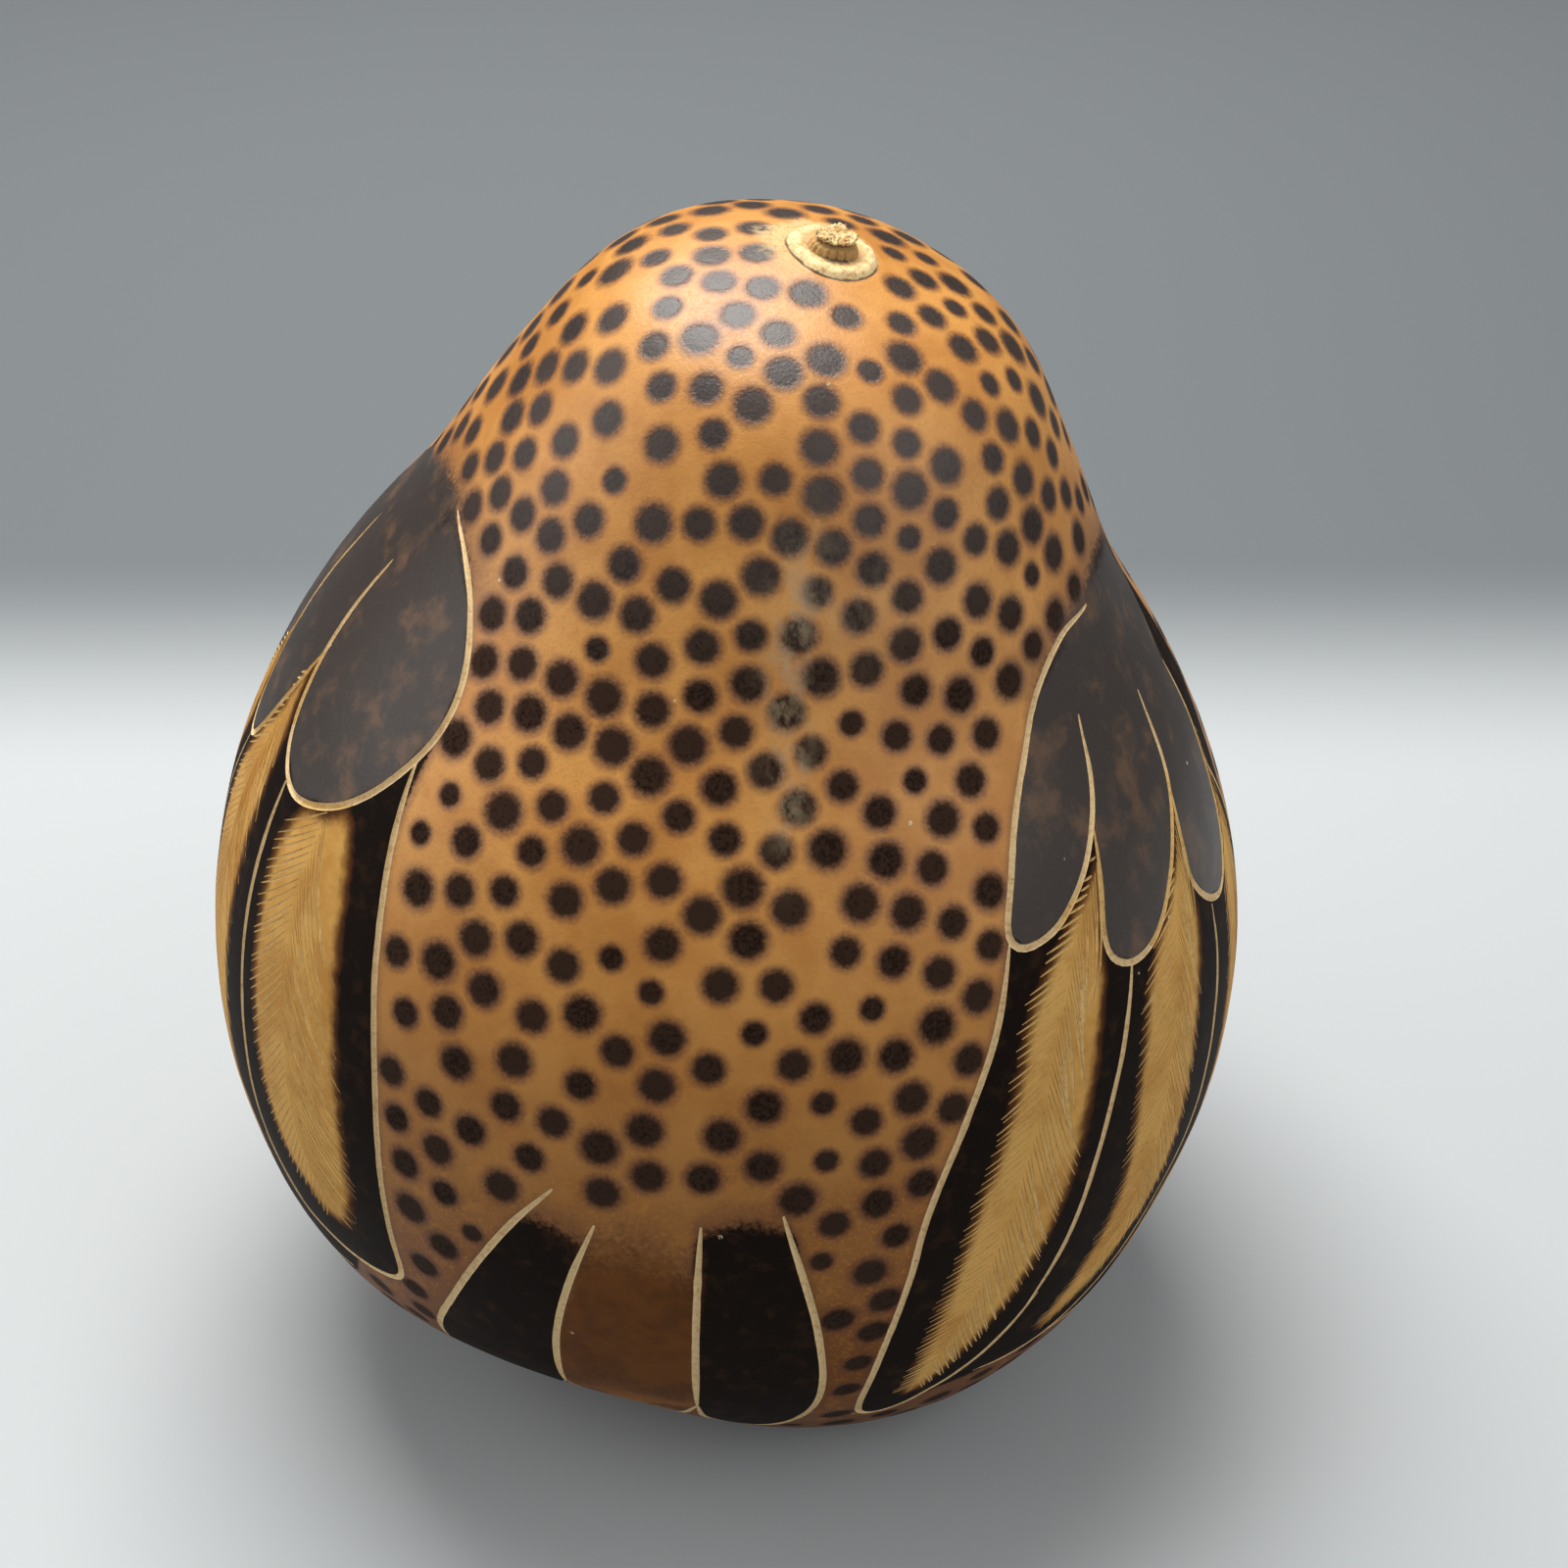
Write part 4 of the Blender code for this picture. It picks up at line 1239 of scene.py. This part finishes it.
    dark = s.math('MAXIMUM', dot, burnt)
    rough = s.blend(dark, s.between(grain, 0.3, 0.7, 0.36, 0.5), s.between(rise, 0.125, 0.155, 0.6, 0.42))
    rough = s.blend(covert, rough, 0.4)
    rough = s.blend(corky, rough, 0.8)
    height = s.add(s.times(grain, 0.05), s.times(fine, 0.018))
    height = s.add(height, s.times(dot, -0.06))
    height = s.add(height, s.times(corky, s.times(cork_grain, 0.12)))
    s.relief(height)
    polish = s.between(rise, 0.03, 0.15, 0.1, 0.6)
    burnt_polish = s.between(rise, 0.125, 0.155, 0.04, 0.6)
    dull = s.math('MAXIMUM', dark, s.between(middle, 0.0, 1.0))
    return s.finish(colour, rough, s.blend(dull, polish, s.blend(covert, burnt_polish, 0.42)))


def cut_material(name, pale, deep, roughness):
    """Bare flesh where a tool has cut through the skin."""
    s = Shader(name)
    spread = s.noise(0.8, 4.0, 0.7)
    s.relief(s.times(s.noise(0.3, 3.0, 0.7), 0.1))
    return s.finish(s.mix(s.between(spread, 0.45, 0.75), pale, deep), roughness, specular=0.3)


def stub_material():
    """Torn, pale fibres with dark pits on top, and painted shade on the side just under the lip."""
    s = Shader("torn_stem")
    pits = s.between(s.noise(0.5, 4.0, 0.7), 0.52, 0.62)
    colour = s.mix(s.between(s.noise(0.9, 3.0, 0.6), 0.4, 0.65), CORK_PALE, CORK_TAN)
    colour = s.mix(pits, colour, CORK_BROWN)
    height = s.number("stub_height")
    # painted shade: the stub's side is dark brown just under the torn lip and tan lower down
    side = s.mix(s.between(height, 0.3, 0.8), CORK_TAN, s.mix(pits, CORK_BROWN, PAINTED_SHADE_BROWN))
    colour = s.mix(s.between(height, 1.05, 0.75, 0.0, 0.9), colour, side)
    s.relief(s.times(s.noise(0.25, 4.0, 0.7), 0.15))
    return s.finish(colour, 0.85, specular=0.3)


def face_kinds(mesh):
    """Sort the faces into skin and cuts by how deep their vertices lie."""
    for i, face in enumerate(mesh.polygons):
        corners = np.array(face.vertices)
        if SKIN_LENGTH - DISTANCE[corners].mean() < SCAR_REACH + 1.0:
            continue
        if ABOVE[corners].mean() < CUT_LIMIT:
            face.material_index = BARB_CUT if AREAS["vane"][corners].max() > -0.1 else OUTLINE_CUT


skin.data.materials.clear()
for material in (skin_material(),
                 cut_material("cut_outline", (0.74, 0.56, 0.31), (0.50, 0.31, 0.13), 0.8),
                 cut_material("cut_barb", (0.68, 0.46, 0.18), (0.46, 0.27, 0.08), 0.75)):
    skin.data.materials.append(material)
stub.data.materials.append(stub_material())
face_kinds(skin.data)
print([material.name for material in skin.data.materials])

# %% [markdown]
# ## The studio
#
# The gourd stands on a pale sheet that curves up far away, so that we can also walk round and look from
# behind. Behind the gourd the sheet is painted slate grey, painted shade where the light falls off along
# it, and a little lighter again further back. The sheet is a flat plane: its far edge is pulled up, and the
# fold is beveled into a wide curve. A large soft light above and a little behind the gourd gives the
# highlight on the head and the shadow at its foot, two weaker ones fill the sides, and the world adds an
# even grey.

# %% The sheet, the lights and the camera
SHEET_WIDTH = 4.0
SHEET_FRONT = -1.8
SHEET_BACK = 1.8
SHEET_HEIGHT = 1.2
SHEET_CURVE = 0.6
WORLD_COLOUR = (0.97, 0.98, 1.0)
WORLD_STRENGTH = 0.38


def sheet_material():
    """A pale floor, painted slate grey further back as shade where the light falls off."""
    s = Shader("pale_sheet")
    split = s.node("ShaderNodeSeparateXYZ", i0=s.place).outputs
    # painted light and shade: from 0.12 m back the sheet turns slate grey, a little lighter again towards
    # 0.6 m
    painted_far_shade = s.mix(s.between(split[1], 0.2, 0.6), (0.153, 0.168, 0.178), (0.205, 0.222, 0.232))
    colour = s.mix(s.between(split[1], 0.12, 0.205), (0.48, 0.505, 0.515), painted_far_shade)
    return s.finish(colour, 0.9, specular=0.2)


deselect_all()
bpy.ops.mesh.primitive_plane_add(size=1.0, location=(0.0, 0.0, 0.0))
sheet = bpy.context.object
sheet.name = "studio_sheet"
sheet.data.name = "studio_sheet"
for corner in sheet.data.vertices:
    corner.co.x *= SHEET_WIDTH
    corner.co.y = SHEET_FRONT if corner.co.y < 0 else SHEET_BACK
bpy.ops.object.mode_set(mode='EDIT')
bpy.ops.mesh.select_mode(type='EDGE')
bpy.ops.mesh.select_all(action='DESELECT')
bpy.ops.object.mode_set(mode='OBJECT')
for edge in sheet.data.edges:
    edge.select = all(sheet.data.vertices[i].co.y > 0 for i in edge.vertices)
bpy.ops.object.mode_set(mode='EDIT')
bpy.ops.mesh.extrude_region_move(TRANSFORM_OT_translate={"value": (0.0, 0.0, SHEET_HEIGHT)})
bpy.ops.mesh.select_all(action='DESELECT')
bpy.ops.object.mode_set(mode='OBJECT')
for edge in sheet.data.edges:
    ends = [sheet.data.vertices[i].co for i in edge.vertices]
    edge.select = all(end.y > 0 and end.z < 0.001 for end in ends)
bpy.ops.object.mode_set(mode='EDIT')
bpy.ops.mesh.bevel(offset=SHEET_CURVE, segments=24)
bpy.ops.object.mode_set(mode='OBJECT')
bpy.ops.object.shade_smooth()
sheet.data.materials.append(sheet_material())


def soft_light(name, place, size, power, aim=(0.0, 0.0, 0.09), colour=(1.0, 1.0, 1.0)):
    """A square soft light that looks at the gourd."""
    lamp = bpy.data.lights.new(name, 'AREA')
    lamp.size = size
    lamp.energy = power
    lamp.color = colour
    item = bpy.data.objects.new(name, lamp)
    bpy.context.scene.collection.objects.link(item)
    item.location = place
    item.rotation_euler = (Vector(aim) - Vector(place)).to_track_quat('-Z', 'Y').to_euler()
    return item


soft_light("key", (-0.08, 0.2, 0.68), 0.46, 6.6, colour=(1.0, 0.98, 0.95))
soft_light("fill_right", (0.7, -0.4, 0.6), 0.8, 2.3)
soft_light("fill_left", (-0.75, -0.05, 0.42), 0.6, 1.8)
world = bpy.data.worlds.new("studio")
world.use_nodes = True
background = world.node_tree.nodes["Background"]
background.inputs["Color"].default_value = (*WORLD_COLOUR, 1.0)
background.inputs["Strength"].default_value = WORLD_STRENGTH
bpy.context.scene.world = world
bpy.context.scene.view_settings.view_transform = 'Standard'

CAMERA_TARGET = Vector((0.0093, 0.0, 0.0842))
CAMERA_DISTANCE = 0.4
CAMERA_TILT = math.radians(35.0)
CAMERA_LENS = 67.05
CAMERA_SENSOR = 36.0
lens = bpy.data.cameras.new("camera")
lens.lens = CAMERA_LENS
lens.sensor_width = CAMERA_SENSOR
camera = bpy.data.objects.new("camera", lens)
bpy.context.scene.collection.objects.link(camera)
backwards = Vector((0.0, -math.cos(CAMERA_TILT), math.sin(CAMERA_TILT)))
camera.location = CAMERA_TARGET + CAMERA_DISTANCE * backwards
camera.rotation_euler = (CAMERA_TARGET - camera.location).to_track_quat('-Z', 'Y').to_euler()
bpy.context.scene.camera = camera

# %% [markdown]
# ## Hand the pieces over
#
# The two pieces of the gourd stand for the solid and rest on it, and the sheet is only a backdrop.

# %% Hand over
for piece in (skin, stub):
    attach(piece, "root")
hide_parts("gourd")
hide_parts("gourd")
